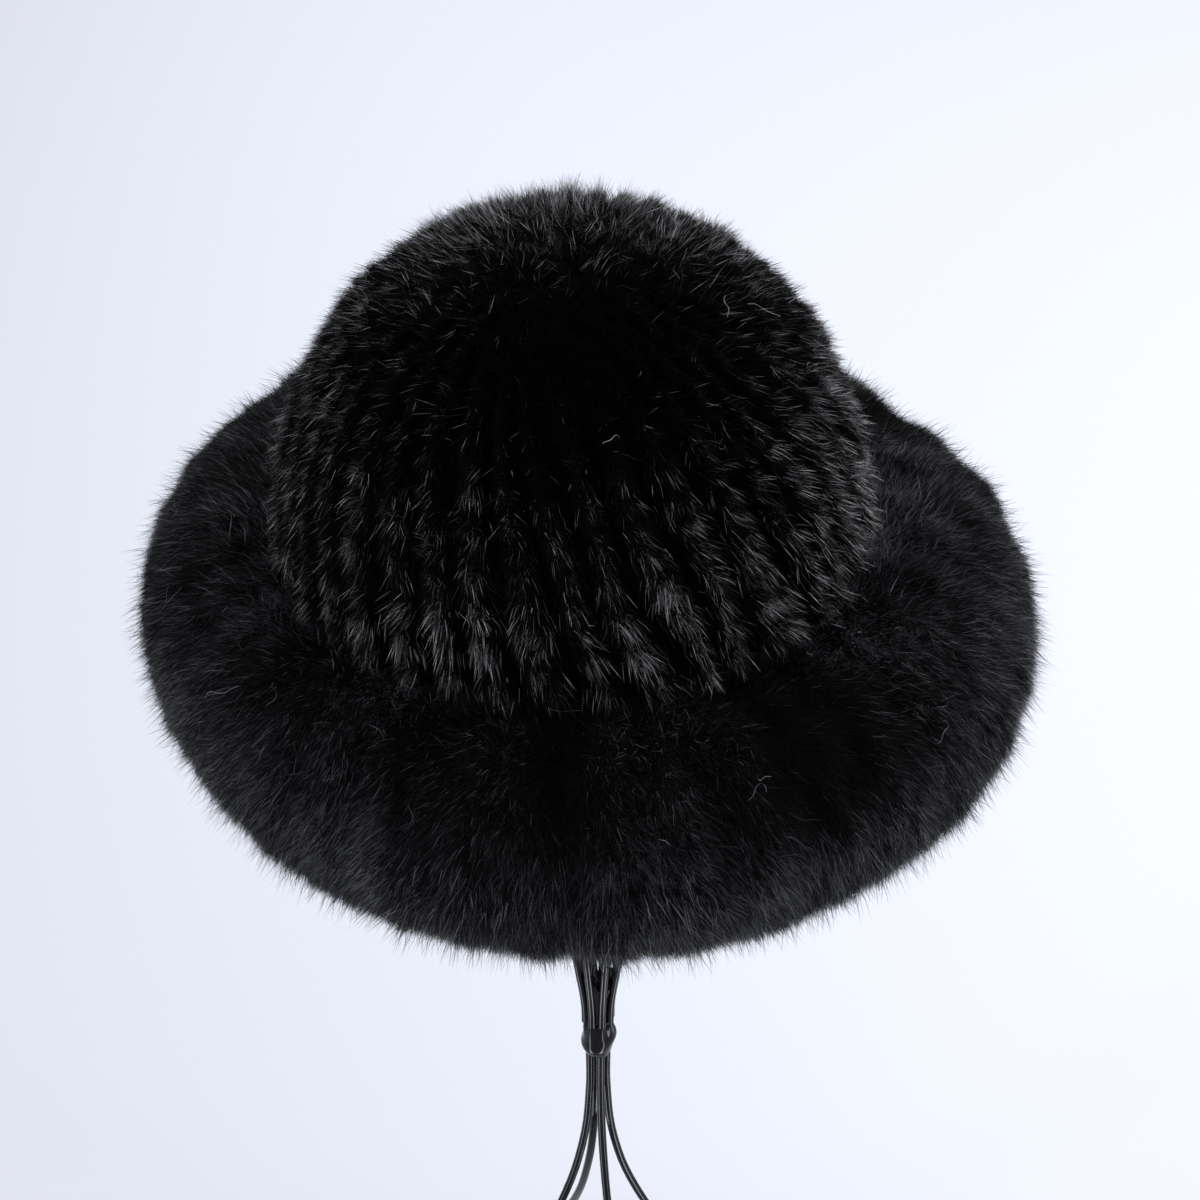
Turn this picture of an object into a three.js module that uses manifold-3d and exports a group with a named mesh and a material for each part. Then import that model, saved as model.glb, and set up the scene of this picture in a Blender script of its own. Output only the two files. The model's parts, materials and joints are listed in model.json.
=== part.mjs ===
// A fur bucket hat on a wire stand, in millimetres, with +Z up and the hat's front facing -Y.
// The hat is a round knit crown covered in strips of short fur, over a deep ring brim of long fur.
import * as THREE from "three";
import { mergeVertices } from "three/addons/utils/BufferGeometryUtils.js";
import Module from "manifold-3d";

const wasm = await Module();
wasm.setup();

// Sizes that everything shares
const SEAT = 0.4; // gap between pieces that touch
const BRIM_HEIGHT = 395; // middle of the brim above the surface that the stand is on
const HAT_LEAN = -1.4; // degrees that the hat leans to its left on the stand
const HAT_NOD = 0.4; // degrees that it leans forward
const HAT_SHIFT = -8; // how far the hat sits to the left of the stand's axis

// The crown, measured from the brim's middle
const CROWN = {
  radius: 108, // outside of the fur at its widest
  widest: 30, // height of that
  rise: 124, // from there to the top of the fur
  flatTop: 0.72, // power of the radius: the lower, the squarer the shoulder
  flatSide: 0.9, // power of the height
  fur: 13, // from the wall to the tips of the fur
  wall: 3, // thickness of the knit wall
  rim: -22, // height of the wall's lower edge
};
const WALL_RADIUS = CROWN.radius - CROWN.fur; // outside of the knit wall at its widest
const STRIPS = 38; // strips of fur round the crown
const STRIP_TWIST = 26; // degrees that a strip turns on its way down
const STRIP_RELIEF = 5.5; // how far a strip stands above the groove beside it
const TUFT_ROWS = 3; // rows of the mesh from one tuft of fur to the next
const FUR_HEM = 45; // height of the lower edge of the crown's fur
const HEM_LOBE = 2.5; // how far a strip hangs below that

// The brim, whose outline swells and draws in round the hat
const BRIM_REACH = 160;
const BRIM_WAVES = [
  { count: 1, swell: 3.6, at: 2 },
  { count: 2, swell: 6.6, at: -45 },
  { count: 3, swell: 2.1, at: 23 },
];
const BRIM_DENTS = [
  { name: "parting at the front", at: -92, spread: 5, depth: 4 },
  { name: "hollow at the front right", at: -56, spread: 12, depth: 5 },
  { name: "notch at the back right", at: 33, spread: 7, depth: 5 },
];
const BRIM_WALL = 2; // thickness of the wall under the fur
const BRIM_SEAM = 5; // height at which that wall meets the crown
const BRIM_DROP = -31; // height of its outer edge
const BRIM_WALL_SHARE = 0.58; // how much of the brim's reach that wall covers

// Section of the brim's fur, from the crown outward and round to the hem. "out" runs from 0 at the crown to 1 at
// the brim's outline, and "up" is the height above the brim's middle.
const BRIM_SECTION = [
  { name: "seam", out: 0.02, up: 34 },
  { name: "inner slope", out: 0.14, up: 38.5 },
  { name: "ridge", out: 0.37, up: 40 },
  { name: "shoulder", out: 0.62, up: 34.5 },
  { name: "side", out: 0.81, up: 22.5 },
  { name: "upper edge", out: 0.925, up: 6 },
  { name: "lower edge", out: 0.925, up: -9 },
  { name: "turn", out: 0.84, up: -22 },
  { name: "hem", out: 0.7, up: -32 },
  { name: "hem's end", out: 0.6, up: -38 },
];

// Locks of the brim's fur. "from" and "to" are places along that section, counted in its rows.
const BRIM_LOCKS = 36; // locks round the brim
const BRIM_ROWS = 12; // rows of the mesh from the seam to the hem's end
const LOCK_RELIEF = 5.5; // how far a lock stands above the groove beside it
const HEM_LOCK = { from: 5.6, to: 8.5, rise: 5.5, width: 0.8 };
const LOCK_SINK = 1.5; // how deep a lock's root edges lie in the backing

// The wire stand
const WIRE = 1.6; // radius of the wire
const STAND_TURN = 17; // degrees by which its wires are turned from the axes
const RIBS = 8;
const LEGS = 4;
const NECK_TOP = -198; // top of the collar
const NECK_BOTTOM = -214; // and its underside
const HUB_RADIUS = 9;
const HUB_HEIGHT = 5;
const HUB_CLEAR = 1.9; // from the hub to the hat's top on its axis, which leaves a seat at the edge of the leaning hat
const HUB_TOP = CROWN.widest + CROWN.rise - CROWN.fur - CROWN.wall - HUB_CLEAR;
const FOOT_RADIUS = 82; // middle of the ring that the stand rests on
const FOOT_WIRE = 2.5; // half the thickness of that ring
const LEG_BUNDLE = 3.4; // distance of the legs from the axis under the collar
const LEG_STRAIGHT = 18; // how far they run straight down from there

// Outline of the wires that fill the hat, from the top down: distance from the stand's axis and height
const CAGE_OUTLINE = [
  { out: HUB_RADIUS + 0.6, up: HUB_TOP - HUB_HEIGHT / 2 },
  { out: 30, up: 128.5 },
  { out: 52, up: 112 },
  { out: 66, up: 86 },
  { out: 70, up: 56 },
  { out: 64, up: 20 },
  { out: 51, up: -20 },
  { out: 36, up: -62 },
  { out: 22, up: -105 },
  { out: 12.5, up: -142 },
  { out: 7.7, up: -171 },
  { out: 5.2, up: -190 },
  { out: 5.0, up: NECK_TOP + SEAT },
];

const ROUND = 40; // sides of the plain round pieces
const CROWN_ROWS = 6; // rows of the wall from its widest place to the top
const FUR_ROWS = 12; // rows of the fur from the hem to the top

const furBlack = { color: 0x0d0d10, roughness: 0.65, metalness: 0 };
const materials = {
  knit: new THREE.MeshStandardMaterial({ color: 0x141416, roughness: 0.9, metalness: 0 }),
  shortFur: new THREE.MeshStandardMaterial(furBlack),
  longFur: new THREE.MeshStandardMaterial({ ...furBlack, color: 0x17181d, roughness: 0.75 }),
  wire: new THREE.MeshStandardMaterial({ color: 0x0a0a0b, roughness: 0.2, metalness: 0.1 }),
};

const radians = THREE.MathUtils.degToRad;
const lerp = THREE.MathUtils.lerp;

/** A point at a distance from the axis, at an angle in radians and at a height. */
function polar(out, angle, up) {
  return new THREE.Vector3(out * Math.cos(angle), out * Math.sin(angle), up);
}

/** The angles of a ring of points, in radians. */
function turns(count, offset = 0) {
  return Array.from({ length: count }, (_, i) => ((i + offset) / count) * 2 * Math.PI);
}

/** Six times the volume that a mesh encloses, which is negative where its faces point inward. */
function signedVolume(points, faces) {
  const [a, b, c] = [0, 1, 2].map(() => new THREE.Vector3());
  let sum = 0;
  for (let i = 0; i < faces.length; i += 3) {
    a.copy(points[faces[i]]);
    b.copy(points[faces[i + 1]]);
    c.copy(points[faces[i + 2]]);
    sum += a.dot(b.cross(c));
  }
  return sum;
}

/**
 * A closed body whose skin runs through rings of points. A ring of one point is a pole. The last ring joins the
 * first where the body is endless, and otherwise the first and last rings are poles or are closed flat.
 */
function skin(rings, endless = false) {
  const points = rings.flat();
  const starts = [];
  let count = 0;
  for (const ring of rings) {
    starts.push(count);
    count += ring.length;
  }
  const faces = [];
  const steps = endless ? rings.length : rings.length - 1;
  for (let i = 0; i < steps; i++) {
    const j = (i + 1) % rings.length;
    const [near, far] = [rings[i].length, rings[j].length];
    for (let k = 0; k < Math.max(near, far); k++) {
      const a = starts[i] + (k % near);
      const b = starts[i] + ((k + 1) % near);
      const c = starts[j] + ((k + 1) % far);
      const d = starts[j] + (k % far);
      if (near > 1) faces.push(a, b, c);
      if (far > 1) faces.push(a, c, d);
    }
  }
  if (!endless) {
    const last = rings.length - 1;
    for (let k = 1; k + 1 < rings[0].length; k++) faces.push(starts[0], starts[0] + k + 1, starts[0] + k);
    for (let k = 1; k + 1 < rings[last].length; k++) faces.push(starts[last], starts[last] + k, starts[last] + k + 1);
  }
  if (signedVolume(points, faces) < 0) faces.reverse();
  const body = new THREE.BufferGeometry().setFromPoints(points);
  body.setIndex(faces);
  body.computeVertexNormals();
  return body;
}

/** The solid that manifold-3d joins, from a closed three.js geometry. */
function toSolid(geometry) {
  const bare = geometry.clone();
  bare.deleteAttribute("normal");
  bare.deleteAttribute("uv");
  const merged = mergeVertices(bare, 1e-4);
  const mesh = { numProp: 3, vertProperties: merged.attributes.position.array, triVerts: merged.index.array };
  return new wasm.Manifold(new wasm.Mesh(mesh));
}

/** One geometry from a backing and the pieces that are fused to it. */
function fuse(backing, pieces) {
  let solid = toSolid(backing);
  for (const piece of pieces) solid = solid.add(toSolid(piece));
  const mesh = solid.getMesh();
  const fused = new THREE.BufferGeometry();
  fused.setAttribute("position", new THREE.BufferAttribute(new Float32Array(mesh.vertProperties), 3));
  fused.setIndex(new THREE.BufferAttribute(new Uint32Array(mesh.triVerts), 1));
  fused.computeVertexNormals();
  return fused;
}

/** Radius and height of the crown at an angle up its side, "inset" inside the fur's tips. */
function crownAt(angle, inset) {
  return {
    out: (CROWN.radius - inset) * Math.cos(angle) ** CROWN.flatTop,
    up: CROWN.widest + (CROWN.rise - inset) * Math.sin(angle) ** CROWN.flatSide,
  };
}

/** The crown's profile from under the top down to its widest place. */
function crownProfile(inset, rows) {
  const steps = Array.from({ length: rows }, (_, i) => (Math.PI / 2) * (1 - (i + 1) / rows));
  return steps.map((angle) => crownAt(angle, inset));
}

/** The knit wall of the crown: a cap that is open below. */
function crownWall() {
  const angles = turns(ROUND);
  const ring = ({ out, up }) => angles.map((angle) => polar(out, angle, up));
  const rims = [WALL_RADIUS, WALL_RADIUS - CROWN.wall].map((out) => ring({ out, up: CROWN.rim }));
  const faces = [CROWN.fur, CROWN.fur + CROWN.wall].map((inset) => {
    const top = polar(0, 0, crownAt(Math.PI / 2, inset).up);
    return [[top], ...crownProfile(inset, CROWN_ROWS).map(ring)];
  });
  return skin([...faces[0], ...rims, ...faces[1].reverse()]);
}

/** How much of its full relief a strip or lock has at a row: each tuft swells and then breaks off. */
function tuft(row, strip) {
  const step = (row + ((strip * strip) % 7)) % TUFT_ROWS;
  return 0.55 + 0.45 * (step / (TUFT_ROWS - 1));
}

/** The crown's fur: strips that stand out of one backing, from the top to a lobed hem on the brim. */
function crownFur() {
  const columns = 2 * STRIPS;
  const rows = FUR_ROWS;
  const hemAngle = Math.asin(((FUR_HEM - CROWN.widest) / CROWN.rise) ** (1 / CROWN.flatSide));
  const steps = Array.from({ length: rows }, (_, i) => lerp(Math.PI / 2, hemAngle, (i + 1) / rows));
  const outer = steps.map((angle, row) => {
    const down = (row + 1) / rows;
    return turns(columns, (STRIP_TWIST / 360) * columns * down).map((turn, column) => {
      const strip = column >> 1;
      const crest = column % 2 === 1;
      const fade = Math.min(1, 2.2 * down); // the strips run together at the top
      const relief = STRIP_RELIEF * fade * (crest ? 1 - tuft(row, strip) : 1);
      const { out, up } = crownAt(angle, relief);
      const lobe = row === rows - 1 && crest ? HEM_LOBE : 0;
      return polar(out, turn, up - lobe);
    });
  });
  const innerInset = CROWN.fur - 2 * SEAT;
  const wallTurn = (STRIP_TWIST / 360) * columns;
  const inner = crownProfile(innerInset, CROWN_ROWS)
    .slice(0, -1)
    .filter(({ up }) => up > FUR_HEM + 2)
    .map(({ out, up }) => turns(columns, wallTurn).map((turn) => polar(out, turn, up)));
  const hem = crownAt(hemAngle, innerInset);
  inner.push(turns(columns, wallTurn).map((turn) => polar(hem.out, turn, FUR_HEM)));
  const top = polar(0, 0, crownAt(Math.PI / 2, 1).up);
  const under = polar(0, 0, crownAt(Math.PI / 2, innerInset).up);
  return skin([[top], ...outer, ...inner.reverse(), [under]]);
}

/** The distance from the crown's axis to the brim's outline at an angle in radians. */
function brimReach(angle) {
  const swell = ({ count, swell, at }) => swell * Math.cos(count * (angle - radians(at)));
  return BRIM_WAVES.reduce((sum, wave) => sum + swell(wave), BRIM_REACH);
}

/** How deep the brim's dents are at an angle in radians. */
function dentAt(angle) {
  return BRIM_DENTS.reduce((sum, { at, spread, depth }) => {
    const apart = Math.atan2(Math.sin(angle - radians(at)), Math.cos(angle - radians(at)));
    return sum + depth * Math.exp(-((apart / radians(spread)) ** 2));
  }, 0);
}

/** A point of the brim, at a share of the way from the crown to its outline. */
function brimPoint(angle, out, up) {
  return polar(lerp(WALL_RADIUS + SEAT, brimReach(angle), out), angle, up);
}

/** A point on the backing of the brim's fur, at a place along its section counted in rows. */
function brimSurface(angle, place) {
  const row = Math.min(Math.floor(place), BRIM_SECTION.length - 2);
  const [a, b] = [BRIM_SECTION[row], BRIM_SECTION[row + 1]];
  const out = lerp(a.out, b.out, place - row);
  const up = lerp(a.up, b.up, place - row);
  const dent = dentAt(angle) * Math.sin(Math.PI * Math.min(1, place / (BRIM_SECTION.length - 1)));
  const point = brimPoint(angle, out, up);
  return point.sub(polar(dent * out, angle, Math.max(0, 1 - out) * dent));
}

/** The direction away from the brim's surface at a place of it. */
function brimNormal(angle, place) {
  const along = brimSurface(angle, place + 0.3).sub(brimSurface(angle, Math.max(0, place - 0.3)));
  const across = brimSurface(angle + 0.02, place).sub(brimSurface(angle - 0.02, place));
  return across.cross(along).negate().normalize();
}

/** The brim's own wall: a sloping ring round the crown's lower edge, under the fur. */
function brimWall() {
  const rise = BRIM_WALL * Math.SQRT2;
  const corners = [
    { out: 0, up: BRIM_SEAM },
    { out: BRIM_WALL_SHARE, up: BRIM_DROP },
    { out: BRIM_WALL_SHARE, up: BRIM_DROP - rise },
    { out: 0, up: BRIM_SEAM - rise },
  ];
  return skin(corners.map(({ out, up }) => turns(ROUND).map((angle) => brimPoint(angle, out, up))), true);
}

/** A place on the brim's fur, standing out from its backing. */
function brimFurPoint(angle, place, rise) {
  return brimSurface(angle, place).addScaledVector(brimNormal(angle, place), rise);
}

/** One pointed lock of long fur at the hem, which lifts off the brim at its tip. */
function hemLock(angle, size) {
  const { from, to, rise, width } = HEM_LOCK;
  const shape = [
    { along: 0, wide: 0.6, high: 0.35 },
    { along: 0.45, wide: 1, high: 0.85 },
    { along: 0.8, wide: 0.62, high: 1 },
  ];
  const reach = (to - from) * size;
  const half = (Math.PI / BRIM_LOCKS) * width;
  const rings = shape.map(({ along, wide, high }) => {
    const place = from + reach * along;
    const side = (turn) => brimFurPoint(turn, place, -LOCK_SINK);
    return [side(angle - half * wide), brimFurPoint(angle, place, rise * high), side(angle + half * wide)];
  });
  return skin([...rings, [brimFurPoint(angle, from + reach, rise * 0.75)]]);
}

/** The brim's fur: a deep ring of locks, with more of them fused to it round the hem. */
function brimFur() {
  const columns = 2 * BRIM_LOCKS;
  const angles = turns(columns);
  const last = BRIM_SECTION.length - 1;
  const rings = Array.from({ length: BRIM_ROWS + 1 }, (_, row) => {
    const share = row / BRIM_ROWS;
    const full = LOCK_RELIEF * Math.min(1, 4 * share, 4 * (1 - share)); // none at the seam and at the hem's end
    return angles.map((angle, column) => {
      const crest = column % 2 === 1;
      return brimFurPoint(angle, share * last, crest ? full * tuft(row, column >> 1) : 0);
    });
  });
  const lift = SEAT * Math.SQRT2;
  const underside = [
    { out: BRIM_WALL_SHARE + 0.005, up: BRIM_DROP + lift },
    { out: 0.02, up: BRIM_SEAM + lift },
  ];
  rings.push(...underside.map(({ out, up }) => angles.map((angle) => brimPoint(angle, out, up))));
  const sizes = [1, 0.9, 0.97, 0.86];
  const locks = turns(BRIM_LOCKS, 0.5).map((angle, i) => hemLock(angle, sizes[(i * i) % sizes.length]));
  return fuse(skin(rings, true), locks);
}

/** A wire of the stand, bent along a curve through points. */
function wire(points, steps) {
  const corner = (angle) => new THREE.Vector2(WIRE * Math.cos(angle), WIRE * Math.sin(angle));
  const section = new THREE.Shape(turns(6).map(corner));
  const path = new THREE.CatmullRomCurve3(points, false, "centripetal");
  return new THREE.ExtrudeGeometry(section, { steps, extrudePath: path, bevelEnabled: false });
}

/** One of the wires that fill the hat, from the hub to the collar. */
function rib(angle) {
  return wire(CAGE_OUTLINE.map(({ out, up }) => polar(out, angle, up)), 15);
}

/** One leg, straight down from under the collar and then out to the foot ring. */
function leg(angle) {
  const top = NECK_BOTTOM - SEAT;
  const bend = top - LEG_STRAIGHT;
  const end = 2 * FOOT_WIRE + SEAT + WIRE * Math.SQRT1_2 - BRIM_HEIGHT; // its slanting end is just over the ring
  const bent = [0, 0.2, 0.4, 0.6, 0.8, 1].map((share) => {
    return polar(lerp(LEG_BUNDLE, FOOT_RADIUS, share ** 2), angle, lerp(bend, end, share));
  });
  return wire([polar(LEG_BUNDLE, angle, top), ...bent], 11);
}

/** A round body from its profile, closed on the axis or on itself. */
function turned(profile, sides) {
  const lathe = new THREE.LatheGeometry(profile.map(([out, up]) => new THREE.Vector2(out, up)), sides);
  return lathe.rotateX(Math.PI / 2);
}

/** The melted joint in which all the wires meet. */
function collar() {
  const [top, bottom] = [NECK_TOP, NECK_BOTTOM];
  const profile = [[0, bottom], [5.4, bottom], [6.6, bottom + 4], [6.9, top - 4], [6.4, top], [0, top]];
  return turned(profile, 16);
}

/** The small disc under the crown's top, on which the hat hangs. */
function hub() {
  const bottom = HUB_TOP - HUB_HEIGHT;
  const edge = 1;
  const profile = [
    [0, bottom],
    [HUB_RADIUS - edge, bottom],
    [HUB_RADIUS, bottom + edge],
    [HUB_RADIUS, HUB_TOP - edge],
    [HUB_RADIUS - edge, HUB_TOP],
    [0, HUB_TOP],
  ];
  return turned(profile, 16);
}

/** The ring that the stand rests on, flat below. */
function footRing() {
  const reach = FOOT_WIRE / Math.cos(Math.PI / 6);
  const profile = turns(6).map((angle) => [
    FOOT_RADIUS + reach * Math.cos(angle),
    FOOT_WIRE - BRIM_HEIGHT + reach * Math.sin(angle),
  ]);
  return turned([...profile, profile[0]], 40);
}

/** A named mesh of the hat or the stand. */
function piece(name, geometry, material) {
  const mesh = new THREE.Mesh(geometry, material);
  mesh.name = name;
  return mesh;
}

const hat = new THREE.Group();
hat.add(
  piece("crown", crownWall(), materials.knit),
  piece("crown_fur", crownFur(), materials.shortFur),
  piece("brim", brimWall(), materials.knit),
  piece("brim_fur", brimFur(), materials.longFur),
);
hat.position.x = HAT_SHIFT;
hat.rotation.set(radians(HAT_NOD), radians(HAT_LEAN), 0);

const stand = new THREE.Group();
stand.add(piece("hub", hub(), materials.wire), piece("collar", collar(), materials.wire));
turns(RIBS).forEach((angle, i) => stand.add(piece(`rib_${i + 1}`, rib(angle), materials.wire)));
turns(LEGS).forEach((angle, i) => stand.add(piece(`leg_${i + 1}`, leg(angle), materials.wire)));
stand.add(piece("foot_ring", footRing(), materials.wire));
stand.rotation.z = radians(STAND_TURN);

// The origin is under the middle of the whole, on the surface that it stands on.
const model = new THREE.Group();
model.add(hat, stand);
model.updateMatrixWorld(true);
const box = new THREE.Box3().setFromObject(model, true);
const middle = box.getCenter(new THREE.Vector3());
model.position.set(-middle.x, -middle.y, -box.min.z);

export default model;
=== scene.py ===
"""A black fur bucket hat on a plain wire stand, in metres, with +Z up and its front facing -Y.

The hat has a round knit crown covered in strips of short fur, over a deep rolled brim of long fur.
Each kind of fur is a pelt that holds its form, with hairs on it that are thin tapering strips of
mesh. The stand is a cage of black wires that fills the hat, gathered at a melted collar over four
legs and a foot ring.
"""

import json
import logging
import math
from abc import ABC, abstractmethod
from collections.abc import Callable, Sequence
from dataclasses import dataclass, replace
from enum import Enum
from functools import cached_property

import bpy
import numpy as np
from mathutils import Matrix, Vector

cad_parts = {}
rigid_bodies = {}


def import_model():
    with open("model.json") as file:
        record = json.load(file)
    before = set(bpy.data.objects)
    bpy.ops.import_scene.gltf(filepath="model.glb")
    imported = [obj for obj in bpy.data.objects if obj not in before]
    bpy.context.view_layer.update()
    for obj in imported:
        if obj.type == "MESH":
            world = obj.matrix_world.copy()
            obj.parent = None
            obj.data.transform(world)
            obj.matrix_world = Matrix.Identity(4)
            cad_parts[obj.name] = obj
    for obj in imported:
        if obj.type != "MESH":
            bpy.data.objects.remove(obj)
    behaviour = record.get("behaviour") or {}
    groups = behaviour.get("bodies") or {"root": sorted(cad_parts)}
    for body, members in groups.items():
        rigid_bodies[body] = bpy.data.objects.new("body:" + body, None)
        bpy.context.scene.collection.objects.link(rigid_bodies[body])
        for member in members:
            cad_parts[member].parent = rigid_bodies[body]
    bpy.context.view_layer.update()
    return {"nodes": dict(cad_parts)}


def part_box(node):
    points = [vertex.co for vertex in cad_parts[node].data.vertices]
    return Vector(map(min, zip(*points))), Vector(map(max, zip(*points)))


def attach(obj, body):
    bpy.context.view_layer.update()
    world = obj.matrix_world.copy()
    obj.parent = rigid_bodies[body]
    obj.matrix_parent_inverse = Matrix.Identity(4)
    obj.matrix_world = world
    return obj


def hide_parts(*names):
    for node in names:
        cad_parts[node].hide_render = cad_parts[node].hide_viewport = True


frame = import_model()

log = logging.getLogger("fur_hat")

MM = 0.001
TURN = 2 * math.pi
BODY = "root"

STRAND_MAP = "OFBake"  # the UV map in which a hair's tone runs across and its length runs up
MARGIN = 0.01  # of that map, round the hairs
TONES = 0.97  # of its width, over which the hairs' tones run
STRAND = 0.008  # of its width, for one hair

SHORTEST = -1.6  # how far a hair's length may lie below its coat's, in spreads of length
LONGEST = 0.9  # and how far above it
BENT = 0.35  # how much of its stray goes into a hair's bend

Array = np.ndarray
Colour = tuple[float, float, float]
Place = tuple[float, float, float]
Profile = tuple[tuple[float, float], ...]  # distances out and heights
Inputs = dict[str | int, object]  # by a socket's name or number
Item = bpy.types.Object
Material = bpy.types.Material
NodeTree = bpy.types.NodeTree
Socket = bpy.types.NodeSocket


class Slot(Enum):
    """The record's material slots."""

    KNIT = "knit"
    SHORT_FUR = "short_fur"
    LONG_FUR = "long_fur"
    WIRE = "stand_wire"


def mix(start: Array | float, end: Array | float, share: Array | float) -> Array:
    """The values between two others, at a share of the way from the first to the second."""
    return start + (end - start) * np.asarray(share)


def unit(vectors: Array) -> Array:
    """The vectors at length 1."""
    return vectors / np.maximum(np.linalg.norm(vectors, axis=-1, keepdims=True), 1e-12)


def polar(out: Array, angle: Array, up: Array) -> Array:
    """Points at a distance from the axis, at an angle and at a height."""
    return np.stack(np.broadcast_arrays(out * np.cos(angle), out * np.sin(angle), up), axis=-1)


def placed(points: Array, matrix: Matrix) -> Array:
    """The points after a move by a matrix."""
    turn = np.array(matrix.to_3x3())
    return points @ turn.T + np.array(matrix.to_translation())


def ripple(points: Array, size: float, seed: int) -> Array:
    """A smooth random value at each point.

    Args:
        points: Places in space.
        size: About how far apart the values' highs and lows lie.
        seed: Which pattern it is.

    Returns:
        Values from about -1 to 1.
    """
    rng = np.random.default_rng(seed)
    waves = 9
    directions = unit(rng.normal(size=(waves, 3))) * rng.uniform(0.7, 1.5, (waves, 1)) * math.pi / size
    phases = rng.uniform(0, TURN, waves)
    return np.sin(points @ directions.T + phases).sum(-1) / math.sqrt(waves)


def ripples(points: Array, size: float, seed: int) -> Array:
    """A smooth random direction at each point, with a ripple for each axis."""
    return np.stack([ripple(points, size, seed + axis) for axis in range(3)], axis=-1)


def turned_from(angle: Array, bearing: float) -> Array:
    """How far angles are from a bearing in degrees, the shorter way round."""
    return np.angle(np.exp(1j * (angle - math.radians(bearing))))


def drawn_by_area(
    places: Array, outline: tuple[Array, Array], count: int, rng: np.random.Generator
) -> Array:
    """Draws places along an outline so that they are even over the surface that it makes.

    Args:
        places: The places that the outline's points stand for.
        outline: The points' distances from the axis and their heights.
        count: How many to draw.
        rng: Where the random values come from.

    Returns:
        The places drawn.
    """
    out, up = outline
    rings = np.hypot(np.diff(out), np.diff(up)) * (out[1:] + out[:-1]) / 2
    area = np.append(0.0, np.cumsum(rings))
    return np.interp(rng.uniform(0, area[-1], count), area, places)


@dataclass(frozen=True)
class Placement:
    """Where the stand is, and how the hat sits on it."""

    brim_height: float = 0.395
    lean: float = math.radians(-1.4)
    nod: float = math.radians(0.4)
    shift: float = -0.008
    stand_turn: float = math.radians(17)

    def axis(self) -> Vector:
        """The foot of the stand's axis."""
        low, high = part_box("foot_ring")
        return Vector(((low.x + high.x) / 2, (low.y + high.y) / 2, 0.0))

    def at_brim(self, shift: float = 0.0) -> Matrix:
        """The move to the stand's axis, or aside of it, at the height of the brim's middle."""
        return Matrix.Translation(self.axis() + Vector((shift, 0.0, self.brim_height)))

    def hat(self) -> Matrix:
        """The matrix from the hat, measured from the brim's middle, to the frame."""
        tilt = Matrix.Rotation(self.nod, 4, "X") @ Matrix.Rotation(self.lean, 4, "Y")
        return self.at_brim(self.shift) @ tilt

    def stand(self) -> Matrix:
        """The matrix from the stand, measured from the height of the brim's middle, to the frame."""
        return self.at_brim() @ Matrix.Rotation(self.stand_turn, 4, "Z")


# Meshes


def deselect() -> None:
    """Leaves nothing selected and no object active."""
    for item in bpy.context.view_layer.objects:
        item.select_set(False)
    bpy.context.view_layer.objects.active = None


def activate(item: Item) -> None:
    """Selects one object alone and makes it active.

    Args:
        item: The object.
    """
    deselect()
    item.select_set(True)
    bpy.context.view_layer.objects.active = item


def coordinates(item: Item) -> Array:
    """The places of a mesh's vertices.

    Args:
        item: The object.

    Returns:
        The places, a row for each vertex.
    """
    values = np.empty(len(item.data.vertices) * 3)
    item.data.vertices.foreach_get("co", values)
    return values.reshape(-1, 3)


def move_vertices(item: Item, points: Array) -> None:
    """Puts a mesh's vertices at new places."""
    item.data.vertices.foreach_set("co", np.ascontiguousarray(points, np.float64).ravel())
    item.data.update()


def add_mesh(add: Callable[..., object], name: str, **settings: object) -> Item:
    """Adds a simple mesh with its operator, and gives it its name.

    Args:
        add: The operator.
        name: Its name.
        settings: What the operator is given.

    Returns:
        The object.
    """
    deselect()
    add(**settings)
    item = bpy.context.active_object
    item.name = item.data.name = name
    return item


def add_object(name: str, data: bpy.types.ID) -> Item:
    """Adds an object with its data to the scene.

    Args:
        name: Its name.
        data: Its mesh, light or camera.

    Returns:
        The object.
    """
    item = bpy.data.objects.new(name, data)
    bpy.context.scene.collection.objects.link(item)
    return item


def give_material(item: Item, material: Material) -> None:
    """Gives an object one material and no other."""
    item.data.materials.clear()
    item.data.materials.append(material)


def merge_and_turn_out(item: Item, distance: float = 2e-6) -> None:
    """Merges the vertices that meet at seams and poles, and points the faces outward.

    Args:
        item: The object.
        distance: How close vertices are that merge.
    """
    activate(item)
    bpy.ops.object.mode_set(mode="EDIT")
    bpy.ops.mesh.select_all(action="SELECT")
    bpy.ops.mesh.remove_doubles(threshold=distance)
    bpy.ops.mesh.normals_make_consistent(inside=False)
    bpy.ops.object.mode_set(mode="OBJECT")


def closed_sheet(
    name: str, columns: int, rows: int, matrix: Matrix, form: Callable[[Array, Array], Array]
) -> Item:
    """A closed body made from a grid that is bent round until its sides meet.

    Args:
        name: The piece's name.
        columns: Faces round the body.
        rows: Faces along it.
        matrix: From the body's own frame to the part's.
        form: Gives the points for a share round the body and a row.

    Returns:
        The piece, whose UV map is the grid laid flat.
    """
    grid = {"x_subdivisions": columns, "y_subdivisions": rows, "size": 2}
    item = add_mesh(bpy.ops.mesh.primitive_grid_add, name, **grid)
    item.data.uv_layers[0].name = STRAND_MAP
    flat = coordinates(item)
    around = (flat[:, 0] + 1) / 2
    along = (flat[:, 1] + 1) / 2 * rows
    move_vertices(item, form(np.where(around > 1 - 1e-6, 0.0, around), np.round(along)))
    merge_and_turn_out(item)
    activate(item)
    bpy.ops.object.shade_smooth()
    move_vertices(item, placed(coordinates(item), matrix))
    return item


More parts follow.
